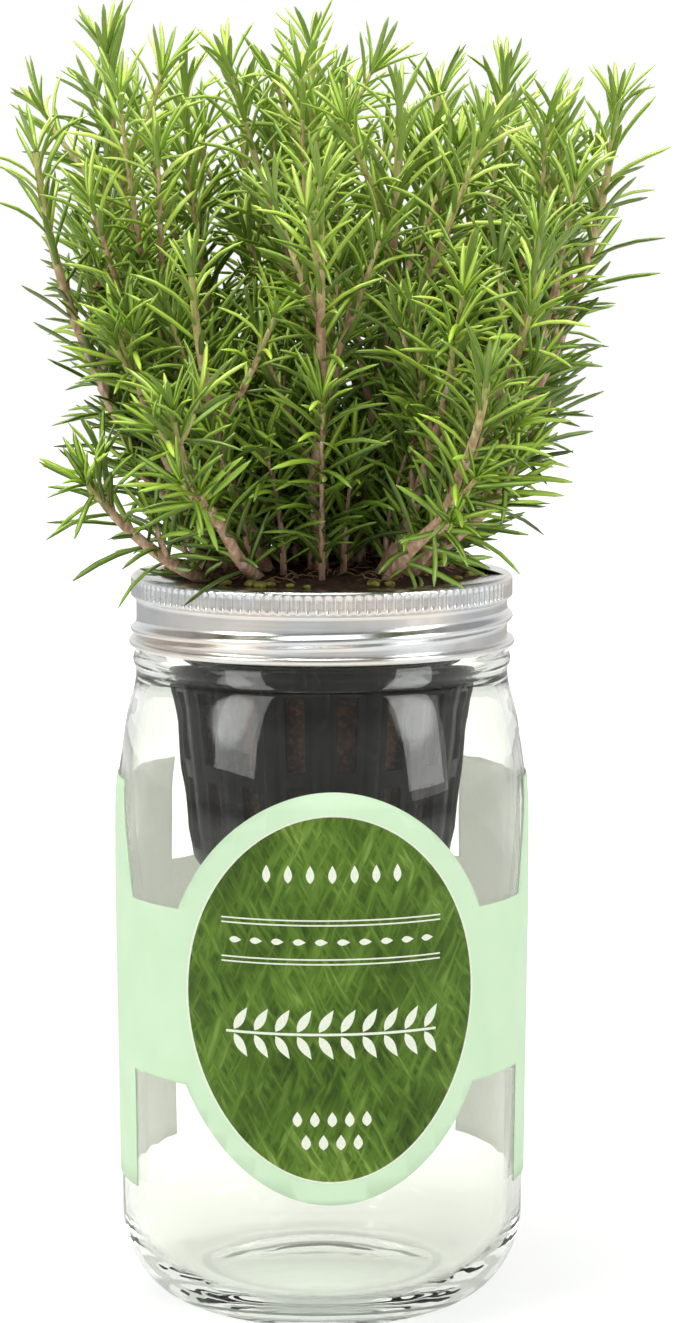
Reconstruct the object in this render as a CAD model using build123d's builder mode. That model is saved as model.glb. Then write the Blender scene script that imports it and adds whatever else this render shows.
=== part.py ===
"""A hydroponic jar planter: a glass canning jar, a slotted net pot hung in its mouth and clamped by a
screw band, a paper sleeve round the glass, and a bush of rosemary sprigs rooted in coir.

Millimetres, +Z up. The origin is on the jar's axis, on the surface that the jar stands on."""

import os
from math import cos, pi, radians, sin, sqrt

from build123d import *

# Jar: a wide-mouth quart, blown in a mould, with a heavy rounded heel
jar_height = 172.4
jar_radius = 49.0
glass_wall = 3.0
heel_radius = 48.1
heel_height = 22.0
heel_glass = 3.2
foot_inner_radius = 27.0
foot_outer_radius = 30.0
kick_height = 3.5
floor_height = 8.5
floor_rise = 2.5
straight_low = 96.0
straight_high = 116.0
shoulder_mid_radius = 46.6
shoulder_mid_height = 139.3
neck_radius = 44.1
neck_height = 151.2
bead_radius = 44.8
bead_low = 152.3
bead_high = 156.3
finish_step = 157.2
finish_radius = 41.9
mouth_radius = 38.4
mouth_low = 160.0
rim_round = 1.1

# Thread, one helix shared by the glass and the band
thread_crest_radius = 43.2
thread_round = 1.8
thread_pitch = 6.35
thread_turns = 0.7
thread_front_height = 163.0

# Screw band, rolled from thin tinplate
band_height = 17.0
band_sheet = 0.45
lip_sheet = 0.5
lip_opening_radius = 39.2
band_round = 1.3
ring_radius = 45.2
ring_low = 169.6
ring_slope = 1.4
flute_pitch = 2.3
flute_depth = 0.6
waist_radius = 43.95
bulge_radius = 45.3
bulge_round = 2.0
curl_radius = 45.7
curl_round = 1.0

# Net pot, moulded, with a flange that hangs on the jar's rim
pot_wall = 1.2
pot_flange_thickness = 1.6
pot_flange_radius = 41.4
pot_top_radius = 36.0
pot_base_radius = 29.2
pot_base_height = 104.5
pot_base_round = 4.0
pot_hoop_depth = 0.7
pot_hoop_width = 2.4
pot_hoop_height = 153.0
pot_rib_depth = 0.7
pot_rib_width = 1.6
slot_count = 18
slot_width = 4.6
slot_rows = ((110.0, 127.0), (131.5, 149.5))
base_slot_count = 9
base_slot_width = 3.2
base_slot_length = 15.0
base_slot_middle = 14.5

# Growing medium, packed into the pot and heaped over its flange
medium_gap = 0.25
medium_lip_gap = 0.5
medium_edge = 0.4
medium_crown = 4.4

# Paper sleeve, die cut and wrapped round the glass
paper_thickness = 0.3
paper_gap = 0.1
sleeve_turn = 3.0
strip_low = 59.3
strip_high = 100.3
oval_half_width = 37.6
oval_half_height = 47.85
oval_height = 81.45
side_low = 31.0
side_high = 127.0
side_front_angle = 66.5
side_top_angle = 75.0
side_back_angle = 130.0

# Rosemary: each sprig leans out of the soil, then turns up towards its tip
crown_radius = 78.0
crown_height = 126.0
root_depth = 2.0
stem_base_radius = 1.5
stem_tip_radius = 0.45
stem_sides = 5
stem_spans = 5
stem_out_shares = (0.36, 0.66, 0.95, 1.0)
stem_up_shares = (0.0, 0.26, 0.62, 1.0)
leaf_length = 15.0
leaf_width = 1.7
leaf_thickness = 0.8
leaf_tip_share = 0.12
leaf_pair_spacing = 9.5
leaf_start_share = 0.24
leaf_end_share = 0.985
leaf_seat = 0.2
leaf_lean = 50.0
tuft_lean = 18.0
leaf_turn = 77.0
leaf_clearance = 0.35
rim_clearance = 4.0

# Where each sprig's tip stands, across, back and up, as shares of the crown's radius and height
sprig_tip_shares = (
    (-0.64, -0.06, 0.93),
    (-0.84, -0.19, 0.75),
    (-0.42, 0.32, 0.86),
    (-0.25, 0.57, 0.85),
    (-0.03, 0.06, 0.94),
    (0.23, -0.26, 0.83),
    (0.36, 0.46, 0.86),
    (0.56, 0.27, 0.88),
    (0.62, 0.62, 0.80),
    (0.88, -0.06, 0.84),
    (-0.37, -0.53, 0.53),
    (0.00, -0.60, 0.69),
    (0.41, -0.60, 0.53),
    (-0.42, -0.72, 0.30),
    (0.47, -0.80, 0.36),
    (-0.66, -0.55, 0.17),
    (0.70, 0.10, 0.32),
    (0.55, -0.45, 0.20),
    (-0.73, 0.30, 0.56),
    (0.76, 0.36, 0.62),
    (-0.68, 0.64, 0.65),
    (0.03, 0.79, 0.87),
    (0.62, -0.62, 0.60),
    (-0.57, -0.38, 0.46),
    (-0.31, 0.81, 0.40),
    (0.37, 0.80, 0.44),
)

# Worked out from the values above
flange_top = jar_height + pot_flange_thickness
band_top = flange_top + lip_sheet
band_bottom = band_top - band_height
curl_middle_height = band_bottom + curl_round
curl_middle_radius = curl_radius - curl_round
ring_inner_radius = ring_radius - flute_depth - band_sheet
waist_inner_radius = waist_radius - band_sheet
pot_slope = (pot_top_radius - pot_base_radius) / (jar_height - pot_base_height)
pot_floor = pot_base_height + pot_wall
soil_edge_radius = lip_opening_radius - medium_lip_gap
soil_top = flange_top + medium_crown
overrun = 2 * glass_wall


def dome_radius(half_width, rise):
    """The radius of an arc that rises so far over so wide a half chord."""
    return (half_width**2 + rise**2) / (2 * rise)


def body_side(shift):
    """The jar's side from the heel to the neck, moved out by shift."""
    Line((heel_radius + shift, heel_height), (jar_radius + shift, straight_low))
    Line((jar_radius + shift, straight_low), (jar_radius + shift, straight_high))
    Spline(
        (jar_radius + shift, straight_high),
        (shoulder_mid_radius + shift, shoulder_mid_height),
        (neck_radius + shift, neck_height),
        tangents=((0, 1), (0, 1)),
    )


def thread_bar(middle_radius, bar_round):
    """A round bar along the thread's helix, its ends rounded and its middle turn at the front."""
    rise = thread_pitch * thread_turns
    start_height = thread_front_height - rise / 2
    with BuildPart() as bar:
        with BuildLine():
            helix = Helix(thread_pitch, rise, middle_radius, center=(0, 0, start_height))
        with BuildSketch(Plane(origin=helix @ 0, z_dir=helix % 0)):
            Circle(bar_round)
        sweep(path=helix, is_frenet=True)
        with Locations(helix @ 0, helix @ 1):
            Sphere(bar_round)
    return bar.part.rotate(Axis.Z, -90 - 180 * thread_turns)


# Glass jar: the outside, the thread on its finish, then the hollow
inner_heel_radius = heel_radius - heel_glass
floor_edge_height = floor_height - floor_rise
foot_dome = dome_radius(foot_inner_radius, kick_height)
floor_dome = dome_radius(foot_outer_radius, floor_rise)
glass_thread = thread_bar(thread_crest_radius - thread_round, thread_round)
with BuildPart() as glass_jar:
    with BuildSketch(Plane.XZ):
        with BuildLine():
            RadiusArc((0, kick_height), (foot_inner_radius, 0), foot_dome)
            Line((foot_inner_radius, 0), (foot_outer_radius, 0))
            EllipticalCenterArc(
                (foot_outer_radius, heel_height),
                heel_radius - foot_outer_radius,
                heel_height,
                start_angle=270,
                arc_size=90,
            )
            body_side(0)
            Line((neck_radius, neck_height), (neck_radius, bead_low))
            ThreePointArc(
                (neck_radius, bead_low),
                (bead_radius, (bead_low + bead_high) / 2),
                (neck_radius, bead_high),
            )
            Polyline(
                (neck_radius, bead_high),
                (finish_radius, finish_step),
                (finish_radius, jar_height),
                (0, jar_height),
                (0, kick_height),
            )
        make_face()
    revolve(axis=Axis.Z)
    add(glass_thread)
    with BuildSketch(Plane.XZ):
        with BuildLine():
            RadiusArc((0, floor_height), (foot_outer_radius, floor_edge_height), floor_dome)
            EllipticalCenterArc(
                (foot_outer_radius, heel_height),
                inner_heel_radius - foot_outer_radius,
                heel_height - floor_edge_height,
                start_angle=270,
                arc_size=90,
            )
            Polyline(
                (inner_heel_radius, heel_height),
                (jar_radius - glass_wall, straight_low),
                (jar_radius - glass_wall, straight_high),
            )
            Spline(
                (jar_radius - glass_wall, straight_high),
                (shoulder_mid_radius - glass_wall, shoulder_mid_height),
                (mouth_radius, mouth_low),
                tangents=((0, 1), (0, 1)),
            )
            Polyline(
                (mouth_radius, mouth_low),
                (mouth_radius, jar_height + overrun),
                (0, jar_height + overrun),
                (0, floor_height),
            )
        make_face()
    revolve(axis=Axis.Z, mode=Mode.SUBTRACT)
    fillet(glass_jar.edges().filter_by(GeomType.CIRCLE).group_by(Axis.Z)[-1], rim_round)
glass_jar.part.label = "glass_jar"

# Screw band: the rolled wall, the bulge that the thread lies in, the curled hem, then the flutes
bulge_middle = bulge_radius - bulge_round
bulge_outside = thread_bar(bulge_middle, bulge_round)
bulge_inside = thread_bar(bulge_middle, bulge_round - band_sheet)
with BuildPart() as bulge:
    add(bulge_outside)
    with Locations((0, 0, thread_front_height)):
        Cylinder(waist_radius - band_sheet / 2, 2 * band_height, mode=Mode.SUBTRACT)
flute_count = round(2 * pi * ring_radius / flute_pitch)
flute_side = flute_depth * sqrt(2)
with BuildPart() as screw_band:
    with BuildSketch(Plane.XZ):
        with BuildLine():
            Polyline(
                (lip_opening_radius, band_top),
                (ring_radius, band_top),
                (ring_radius, ring_low),
                (waist_radius, ring_low - ring_slope),
                (waist_radius, curl_middle_height),
                (waist_inner_radius, curl_middle_height),
                (waist_inner_radius, ring_low - ring_slope),
                (ring_inner_radius, ring_low),
                (ring_inner_radius, flange_top),
                (lip_opening_radius, flange_top),
                close=True,
            )
        make_face()
    revolve(axis=Axis.Z)
    top_edges = screw_band.edges().filter_by(GeomType.CIRCLE).group_by(Axis.Z)[-1]
    fillet(top_edges.sort_by(SortBy.LENGTH)[-1], band_round)
    add(bulge.part)
    add(bulge_inside, mode=Mode.SUBTRACT)
    with BuildSketch(Plane.XZ):
        with Locations((curl_middle_radius, curl_middle_height)):
            Circle(curl_round)
    revolve(axis=Axis.Z)
    with BuildSketch(Plane.XY.offset(ring_low - ring_slope)):
        with PolarLocations(ring_radius, flute_count):
            Rectangle(flute_side, flute_side, rotation=45)
    extrude(amount=band_height, mode=Mode.SUBTRACT)
screw_band.part.label = "screw_band"


def pot_radius(height):
    """The outer radius of the pot's tapered wall at this height."""
    return pot_base_radius + pot_slope * (height - pot_base_height)


# Net pot: a tapered, ribbed cup with two rows of slots, a slotted base and a flange round its mouth
rib_low = slot_rows[0][0]
with BuildPart() as pot_rib:
    with BuildSketch(Plane.XZ):
        Polygon(
            (pot_radius(rib_low) - pot_wall / 2, rib_low),
            (pot_radius(rib_low), rib_low),
            (pot_radius(pot_hoop_height) + pot_rib_depth, pot_hoop_height),
            (pot_radius(pot_hoop_height) - pot_wall / 2, pot_hoop_height),
        )
    extrude(amount=pot_rib_width / 2, both=True)
with BuildPart() as net_pot:
    with BuildSketch(Plane.XZ):
        with BuildLine():
            Polyline(
                (0, pot_base_height),
                (pot_base_radius, pot_base_height),
                (pot_top_radius, jar_height),
                (pot_flange_radius, jar_height),
                (pot_flange_radius, flange_top),
                (0, flange_top),
                close=True,
            )
        make_face()
    revolve(axis=Axis.Z)
    fillet(net_pot.edges().filter_by(GeomType.CIRCLE).group_by(Axis.Z)[0], pot_base_round)
    with BuildSketch(Plane.XZ):
        with Locations((pot_radius(pot_hoop_height), pot_hoop_height)):
            Rectangle(2 * pot_hoop_depth, pot_hoop_width)
    revolve(axis=Axis.Z)
    with PolarLocations(0, slot_count, start_angle=180 / slot_count):
        add(pot_rib.part)
    with BuildSketch(Plane.XZ):
        Polygon(
            (0, pot_floor),
            (pot_base_radius - pot_wall, pot_floor),
            (pot_radius(flange_top) - pot_wall, flange_top),
            (0, flange_top),
            align=None,
        )
    revolve(axis=Axis.Z, mode=Mode.SUBTRACT)
    for low, high in slot_rows:
        with PolarLocations(pot_top_radius, slot_count):
            with Locations((0, 0, (low + high) / 2)):
                Box(pot_top_radius, slot_width, high - low, mode=Mode.SUBTRACT)
    with PolarLocations(base_slot_middle, base_slot_count):
        with Locations((0, 0, pot_base_height)):
            Box(base_slot_length, base_slot_width, 2 * overrun, mode=Mode.SUBTRACT)
net_pot.part.label = "net_pot"


def sleeve_across(angle):
    """How far back from the jar's axis this angle from the front lies on the glass."""
    return -jar_radius * cos(radians(angle))


# Paper sleeve: a skin round the glass, kept only where the die cut leaves paper
with BuildPart() as sleeve_die:
    with BuildSketch(Plane.XY.offset(strip_low)):
        Circle(jar_radius + overrun)
    extrude(amount=strip_high - strip_low)
    with BuildSketch(Plane.XZ):
        with Locations((0, oval_height)):
            Ellipse(oval_half_width, oval_half_height)
    extrude(amount=jar_radius + overrun)
    with BuildSketch(Plane.YZ):
        Polygon(
            (sleeve_across(side_front_angle), side_low),
            (sleeve_across(side_front_angle), strip_high),
            (sleeve_across(side_top_angle), side_high),
            (sleeve_across(side_back_angle), side_high),
            (sleeve_across(side_back_angle), side_low),
        )
    extrude(amount=jar_radius + overrun, both=True)
sleeve_cut = sleeve_die.part.rotate(Axis.Z, sleeve_turn)
inner_shift = paper_gap
outer_shift = paper_gap + paper_thickness
with BuildPart() as label_sleeve:
    with BuildSketch(Plane.XZ):
        with BuildLine():
            body_side(inner_shift)
            body_side(outer_shift)
            Line((heel_radius + inner_shift, heel_height), (heel_radius + outer_shift, heel_height))
            Line((neck_radius + inner_shift, neck_height), (neck_radius + outer_shift, neck_height))
        make_face()
    revolve(axis=Axis.Z)
    add(sleeve_cut, mode=Mode.INTERSECT)
label_sleeve.part.label = "label_sleeve"


# Rosemary sprigs
def bezier(shares, along):
    """The cubic curve through the first and last of four shares, drawn towards the other two."""
    back = 1 - along
    start, near, far, end = shares
    return (
        start * back**3
        + 3 * near * back**2 * along
        + 3 * far * back * along**2
        + end * along**3
    )


def stem_point(tip, along):
    """A point on the bowed stem that ends at this tip, from its root (0) to the tip (1)."""
    out = bezier(stem_out_shares, along)
    rise = tip.Z - root_height
    return Vector(tip.X * out, tip.Y * out, root_height + rise * bezier(stem_up_shares, along))


def stem_direction(tip, along):
    """The way the stem points there."""
    step = 0.5 / stem_spans
    low = max(along - step, 0)
    high = min(along + step, 1)
    return (stem_point(tip, high) - stem_point(tip, low)).normalized()


def on_stem(tip, along):
    """A point on the stem's middle line, which runs straight from station to station."""
    station = min(int(along * stem_spans), stem_spans - 1)
    first = stem_point(tip, station / stem_spans)
    last = stem_point(tip, (station + 1) / stem_spans)
    return first + (last - first) * (along * stem_spans - station)


def segment_gap(first, second):
    """The least distance between two straight segments, each a pair of points."""
    u = first[1] - first[0]
    v = second[1] - second[0]
    w = first[0] - second[0]
    uu, uv, vv, uw, vw = u.dot(u), u.dot(v), v.dot(v), u.dot(w), v.dot(w)
    spread = max(uu * vv - uv * uv, 1e-9)
    s = min(max((uv * vw - vv * uw) / spread, 0), 1)
    t = min(max((uv * s + vw) / vv, 0), 1)
    s = min(max((uv * t - uw) / uu, 0), 1)
    return (w + u * s - v * t).length


def stem_solid(tip):
    """A stem that tapers from root to tip, lofted through a few small polygons."""
    sideways = Vector(-tip.Y, tip.X, 0)
    with BuildPart() as stem:
        for station in range(stem_spans + 1):
            along = station / stem_spans
            girth = stem_base_radius + (stem_tip_radius - stem_base_radius) * along
            place = Plane(stem_point(tip, along), x_dir=sideways, z_dir=stem_direction(tip, along))
            with BuildSketch(place):
                RegularPolygon(girth, stem_sides)
        loft(ruled=True)
    return stem.part


def leaf_solid(start, direction, across, length):
    """A needle leaf: flat on top, keeled below and tapered to its tip."""
    with BuildPart() as leaf:
        for share, along in ((1, 0), (leaf_tip_share, length)):
            width = leaf_width * share
            with BuildSketch(Plane(start + direction * along, x_dir=across, z_dir=direction)):
                Polygon((-width / 2, 0), (width / 2, 0), (0, -leaf_thickness * share), align=None)
        loft(ruled=True)
    return leaf.part


def leaf_places(tip):
    """Where a sprig's leaves start, which way they point and how long they are, in crossed pairs."""
    leafy_share = leaf_end_share - leaf_start_share
    length = (tip - stem_point(tip, 0)).length * leafy_share
    pairs = round(length / leaf_pair_spacing)
    sideways = Vector(-tip.Y, tip.X, 0).normalized()
    for pair in range(pairs + 1):
        along = leaf_start_share + leafy_share * pair / pairs
        forward = stem_direction(tip, along)
        lean = radians(tuft_lean if pair == pairs else leaf_lean)
        turned = sideways.rotate(Axis((0, 0, 0), forward), leaf_turn * pair)
        for side in (1, -1):
            outward = turned * side
            direction = forward * cos(lean) + outward * sin(lean)
            start = on_stem(tip, along) + outward * leaf_seat
            yield start, direction, forward.cross(outward), leaf_length


root_height = flange_top - root_depth
tips = [
    Vector(x * crown_radius, y * crown_radius, soil_top + z * crown_height)
    for x, y, z in sprig_tip_shares
]
stems = [stem_solid(tip) for tip in tips]
spans = range(stem_spans)
stem_lines = [
    [(stem_point(tip, n / stem_spans), stem_point(tip, (n + 1) / stem_spans)) for n in spans]
    for tip in tips
]
leaf_room = leaf_width + leaf_clearance
stem_room = stem_base_radius + leaf_room / 2
grown = []
sprigs = []
for number, tip in enumerate(tips):
    other_stems = [line for other, lines in enumerate(stem_lines) if other != number for line in lines]
    own = []
    for start, direction, across, length in leaf_places(tip):
        line = (start, start + direction * length)
        if line[1].Z < soil_top + rim_clearance:
            continue
        if any(segment_gap(line, stem) < stem_room for stem in other_stems):
            continue
        if any(segment_gap(line, leaf) < leaf_room for leaf in grown):
            continue
        own.append((line, leaf_solid(start, direction, across, length)))
    grown += [line for line, solid in own]
    with BuildPart() as sprig:
        add(stems[number])
        add([solid for line, solid in own])
    sprig.part.label = f"rosemary_sprig_{number + 1:02d}"
    sprigs.append(sprig)

# Growing medium: the pot's filling, heaped over the flange, with a hole round each root
with BuildPart() as growing_medium:
    with BuildSketch(Plane.XZ):
        with BuildLine():
            Polyline(
                (0, soil_top),
                (0, pot_floor),
                (pot_base_radius - pot_wall - medium_gap, pot_floor),
                (pot_radius(flange_top) - pot_wall - medium_gap, flange_top),
                (soil_edge_radius, flange_top),
                (soil_edge_radius, flange_top + medium_edge),
            )
            RadiusArc(
                (0, soil_top),
                (soil_edge_radius, flange_top + medium_edge),
                dome_radius(soil_edge_radius, medium_crown - medium_edge),
            )
        make_face()
    revolve(axis=Axis.Z)
    add(stems, mode=Mode.SUBTRACT)
growing_medium.part.label = "growing_medium"

os.makedirs("parts", exist_ok=True)
for piece in (glass_jar, screw_band, net_pot, growing_medium, label_sleeve, *sprigs):
    export_step(piece.part, f"parts/{piece.part.label}.step")
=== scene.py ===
# %% [markdown]
# # A rosemary planter in a canning jar
#
# The object is a wide-mouth glass jar with a fluted screw band, a slotted net pot that hangs in
# its mouth, damp coir, a paper sleeve round the glass and a bush of rosemary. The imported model
# gives every piece its place, so the first step loads it and keeps its box. Everything made below
# is in metres and stands in that same frame.

# %% Load the frame
import math
import random

import bmesh
import bpy
from mathutils import Matrix, Vector, noise
from mathutils.geometry import interpolate_bezier


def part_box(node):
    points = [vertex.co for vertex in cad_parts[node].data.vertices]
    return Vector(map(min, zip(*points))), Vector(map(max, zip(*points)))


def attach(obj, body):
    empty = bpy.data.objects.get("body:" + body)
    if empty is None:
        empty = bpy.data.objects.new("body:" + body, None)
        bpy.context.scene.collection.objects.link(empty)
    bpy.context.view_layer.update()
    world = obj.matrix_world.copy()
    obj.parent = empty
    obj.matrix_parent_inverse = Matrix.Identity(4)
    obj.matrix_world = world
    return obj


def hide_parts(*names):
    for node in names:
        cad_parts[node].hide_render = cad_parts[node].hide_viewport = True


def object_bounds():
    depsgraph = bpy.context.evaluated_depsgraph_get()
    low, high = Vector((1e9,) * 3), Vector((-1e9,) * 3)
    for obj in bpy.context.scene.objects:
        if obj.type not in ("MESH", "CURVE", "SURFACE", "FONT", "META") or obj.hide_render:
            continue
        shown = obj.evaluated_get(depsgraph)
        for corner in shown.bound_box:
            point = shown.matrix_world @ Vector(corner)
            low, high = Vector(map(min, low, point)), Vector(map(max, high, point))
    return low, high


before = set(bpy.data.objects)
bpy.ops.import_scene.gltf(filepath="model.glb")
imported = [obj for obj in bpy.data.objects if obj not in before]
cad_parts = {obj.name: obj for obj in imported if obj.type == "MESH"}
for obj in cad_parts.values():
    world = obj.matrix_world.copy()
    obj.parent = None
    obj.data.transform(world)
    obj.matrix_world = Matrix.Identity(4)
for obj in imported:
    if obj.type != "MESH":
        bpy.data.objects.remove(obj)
cad_low, cad_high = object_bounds()

# %% [markdown]
# ## Helpers for colour, nodes and meshes
#
# Materials could be wired by hand in the shader editor, but a script says exactly what was done.
# Colours are written as the hex values that a screen shows, so one function turns them linear for
# the shaders. One more function adds any shader node with its settings and links. A finished bmesh
# becomes an object by a third, which also says which body it rides on and which CAD node it stands
# for.

# %% Colours
MM = 0.001


def linear(code):
    """The linear RGBA of an sRGB hex colour such as "7DB83A"."""
    shares = [int(code[i : i + 2], 16) / 255 for i in (0, 2, 4)]
    return (*[s / 12.92 if s <= 0.04045 else ((s + 0.055) / 1.055) ** 2.4 for s in shares], 1)


print("mid grey, linear", [round(v, 3) for v in linear("808080")])

# %% Add a node
# A Mix node's colour sockets share their names with its number sockets, so they go by number.
MIX_FIRST, MIX_SECOND, MIXED = 6, 7, 2


def node(owner, kind, inputs=None, stops=(), **settings):
    """Adds one shader node with its settings and links. Its kind is written without ShaderNode.

    An input is a plain value, an output socket, or a node whose first output is meant. The stops
    of a colour ramp are places with a hex colour or a grey value each."""
    made = owner.node_tree.nodes.new("ShaderNode" + kind)
    for name, value in settings.items():
        setattr(made, name, value)
    for name, value in (inputs or {}).items():
        if isinstance(value, bpy.types.Node):
            value = value.outputs[0]
        if isinstance(value, bpy.types.NodeSocket):
            owner.node_tree.links.new(value, made.inputs[name])
        else:
            made.inputs[name].default_value = value
    if stops:
        elements = made.color_ramp.elements
        while len(elements) < len(stops):
            elements.new(0.5)
        for element, (place, colour) in zip(elements, stops):
            element.position = place
            is_hex = isinstance(colour, str)
            element.color = linear(colour) if is_hex else (colour, colour, colour, 1)
    return made


def new_material(name):
    """An empty node material."""
    material = bpy.data.materials.new(name)
    material.use_nodes = True
    material.node_tree.nodes.clear()
    return material


def surface(material, shader):
    """Makes a shader the material's surface."""
    node(material, "OutputMaterial", {"Surface": shader})
    print("material", material.name, len(material.node_tree.nodes), "nodes")


# %% A pattern of a real size
def object_pattern(material, size_mm, stretch=(1, 1, 1), detail=2.0, roughness=0.5):
    """Noise whose features are about size_mm across, fixed to the piece."""
    place = node(material, "TexCoord").outputs["Object"]
    scaled = node(material, "Mapping", {"Vector": place, "Scale": stretch})
    settings = {"Scale": 1 / (size_mm * MM), "Detail": detail, "Roughness": roughness}
    return node(material, "TexNoise", {"Vector": scaled, **settings}).outputs["Fac"]


print("a 3 mm pattern has the scale", round(1 / (3 * MM), 1))

# %% Outlines, and a mesh turned from them
TURN = 2 * math.pi
MERGE = 1e-6  # metres: corners this close are one


def arc(centre, radius, start, end, steps):
    """Points (across, up) along part of a circle, angles in degrees from straight out."""
    angles = [math.radians(start + (end - start) * n / steps) for n in range(steps + 1)]
    return [(centre[0] + radius * math.cos(a), centre[1] + radius * math.sin(a)) for a in angles]


def chain(bm, points):
    """A chain of edges through (across, up) millimetre points, upright and facing the front."""
    corners = [bm.verts.new((x * MM, 0, z * MM)) for x, z in points]
    edges = [bm.edges.new(pair) for pair in zip(corners, corners[1:])]
    return corners + edges


# %% Turn an outline round the axis
def turned(points, steps, closed=False, wedges=1):
    """A bmesh of an outline turned once round the Z axis. A closed outline gives a ring.

    A ring with many steps is quicker to make as one wedge that is then copied round."""
    bm = bmesh.new()
    outline = chain(bm, points + points[:1] if closed else points)
    around = {"cent": (0, 0, 0), "axis": (0, 0, 1)}
    share = {"angle": TURN / wedges, "steps": steps // wedges, "use_merge": wedges == 1}
    bmesh.ops.spin(bm, geom=outline, **share, **around)
    if wedges > 1:
        wedge = bm.verts[:] + bm.edges[:] + bm.faces[:]
        copied = TURN * (wedges - 1) / wedges
        bmesh.ops.spin(bm, geom=wedge, angle=copied, steps=wedges - 1, use_duplicate=True, **around)
    bmesh.ops.remove_doubles(bm, verts=bm.verts[:], dist=MERGE)
    return bm


def outwards(bm):
    """Turns every face of a closed mesh to the outside."""
    bmesh.ops.recalc_face_normals(bm, faces=bm.faces[:])


# %% Make a mesh a piece of the planter
def piece(bm, name, materials, body, stands_for=()):
    """Makes the bmesh an object that rides on a body and has these materials."""
    mesh = bpy.data.meshes.new(name)
    bm.to_mesh(mesh)
    bm.free()
    for material in materials:
        mesh.materials.append(material)
    mesh.polygons.foreach_set("use_smooth", [True] * len(mesh.polygons))
    made = bpy.data.objects.new(name, mesh)
    bpy.context.scene.collection.objects.link(made)
    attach(made, body)
    if stands_for:
        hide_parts(*stands_for)
    print(name, len(mesh.polygons), "faces")
    return made


# %% Join copies to a piece, and add modifiers
def join_copies(made, copies):
    """Joins copies to a piece, each given as a mesh and the matrix of its place."""
    placed = []
    for mesh, place in copies:
        copy = bpy.data.objects.new("copy", mesh)
        copy.matrix_world = place
        bpy.context.scene.collection.objects.link(copy)
        placed.append(copy)
    chosen = [made, *placed]
    with bpy.context.temp_override(
        active_object=made, object=made, selected_objects=chosen, selected_editable_objects=chosen
    ):
        bpy.ops.object.join()


def modifier(obj, kind, **settings):
    """Adds one modifier with its settings."""
    made = obj.modifiers.new(kind.title(), kind)
    for key, value in settings.items():
        setattr(made, key, value)
    print(obj.name, "gets", kind.lower())


# %% [markdown]
# ## Camera
#
# The photograph was taken from about 0.9 m in front of the jar, a little above it, through a long
# lens. It could be placed by eye, but the ellipses of the band and the base show its place, tilt
# and lens exactly. The sensor's width is taken along the frame's long side, here its height.

# %% Camera at the photograph's place
CAMERA_PLACE_MM = (4.2, -900.0, 266.5)
CAMERA_TILT = math.radians(7.185)
FRAME_HEIGHT_PX = 1323
FOCAL_PX = 3816.3
SENSOR_MM = 36.0
GLASS_BOUNCES = 32  # light is turned round many times in the thick foot of a jar

camera_data = bpy.data.cameras.new("front_camera")
camera_data.sensor_width = SENSOR_MM
camera_data.lens = SENSOR_MM * FOCAL_PX / FRAME_HEIGHT_PX
camera = bpy.data.objects.new("front_camera", camera_data)
camera.location = Vector(CAMERA_PLACE_MM) * MM
camera.rotation_euler = (math.pi / 2 - CAMERA_TILT, 0, 0)
bpy.context.scene.collection.objects.link(camera)
bpy.context.scene.camera = camera
bpy.context.scene.view_settings.view_transform = "Standard"
for kind in ("max_bounces", "glossy_bounces", "transmission_bounces"):
    setattr(bpy.context.scene.cycles, kind, GLASS_BOUNCES)
print("lens", round(camera_data.lens, 2), "mm")

# %% [markdown]
# ## Floor, sky and lamps
#
# The jar stands on a plain pale floor in soft light, before white. A backdrop could be lit until
# it turns white, but that light would bleach the jar too. So floor and sky are white only where
# the camera looks at them, straight or through glass, which a Light Path node tells. Where they
# light the jar they are a calm grey, and the floor near the jar keeps its shadow. Metal, pot and
# leaves get their lights from bright panels that only reflections see, as softboxes give them in
# a studio.

# %% White where the camera looks
THROUGH_GLASS = 0.9  # glass takes a little of the white behind it
HALF_A_BOUNCE = 0.5


def seen_straight(owner):
    """One where the camera looks straight or through glass, zero where a ray lit something.

    A ray reflected once came off a wall or the pot. One reflected more often went round inside
    the thick foot of the jar, and it sees the white again."""
    path = node(owner, "LightPath").outputs
    more = node(owner, "Math", {0: path["Glossy Depth"], 1: 1.0}, operation="SUBTRACT")
    apart = node(owner, "Math", {0: more}, operation="ABSOLUTE")
    clean = node(owner, "Math", {0: apart, 1: path["Diffuse Depth"]}, operation="SUBTRACT")
    whole = node(owner, "Math", {0: clean, 1: HALF_A_BOUNCE}, operation="GREATER_THAN")
    through = node(owner, "Math", {0: path["Is Transmission Ray"], 1: whole}, operation="MULTIPLY")
    dimmed = node(owner, "Math", {0: through, 1: THROUGH_GLASS}, operation="MULTIPLY")
    return node(owner, "Math", {0: path["Is Camera Ray"], 1: dimmed}, operation="MAXIMUM")


# %% Floor
FLOOR_HALF_M = 3.0
FLOOR_GLOW = [(0.08, 0.62), (0.35, 1.0)]  # metres from the jar, and how much the white glows there

floor_bm = bmesh.new()
bmesh.ops.create_grid(floor_bm, x_segments=1, y_segments=1, size=FLOOR_HALF_M)
floor_mesh = bpy.data.meshes.new("floor")
floor_bm.to_mesh(floor_mesh)
floor_bm.free()
floor = bpy.data.objects.new("floor", floor_mesh)
bpy.context.scene.collection.objects.link(floor)

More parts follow.
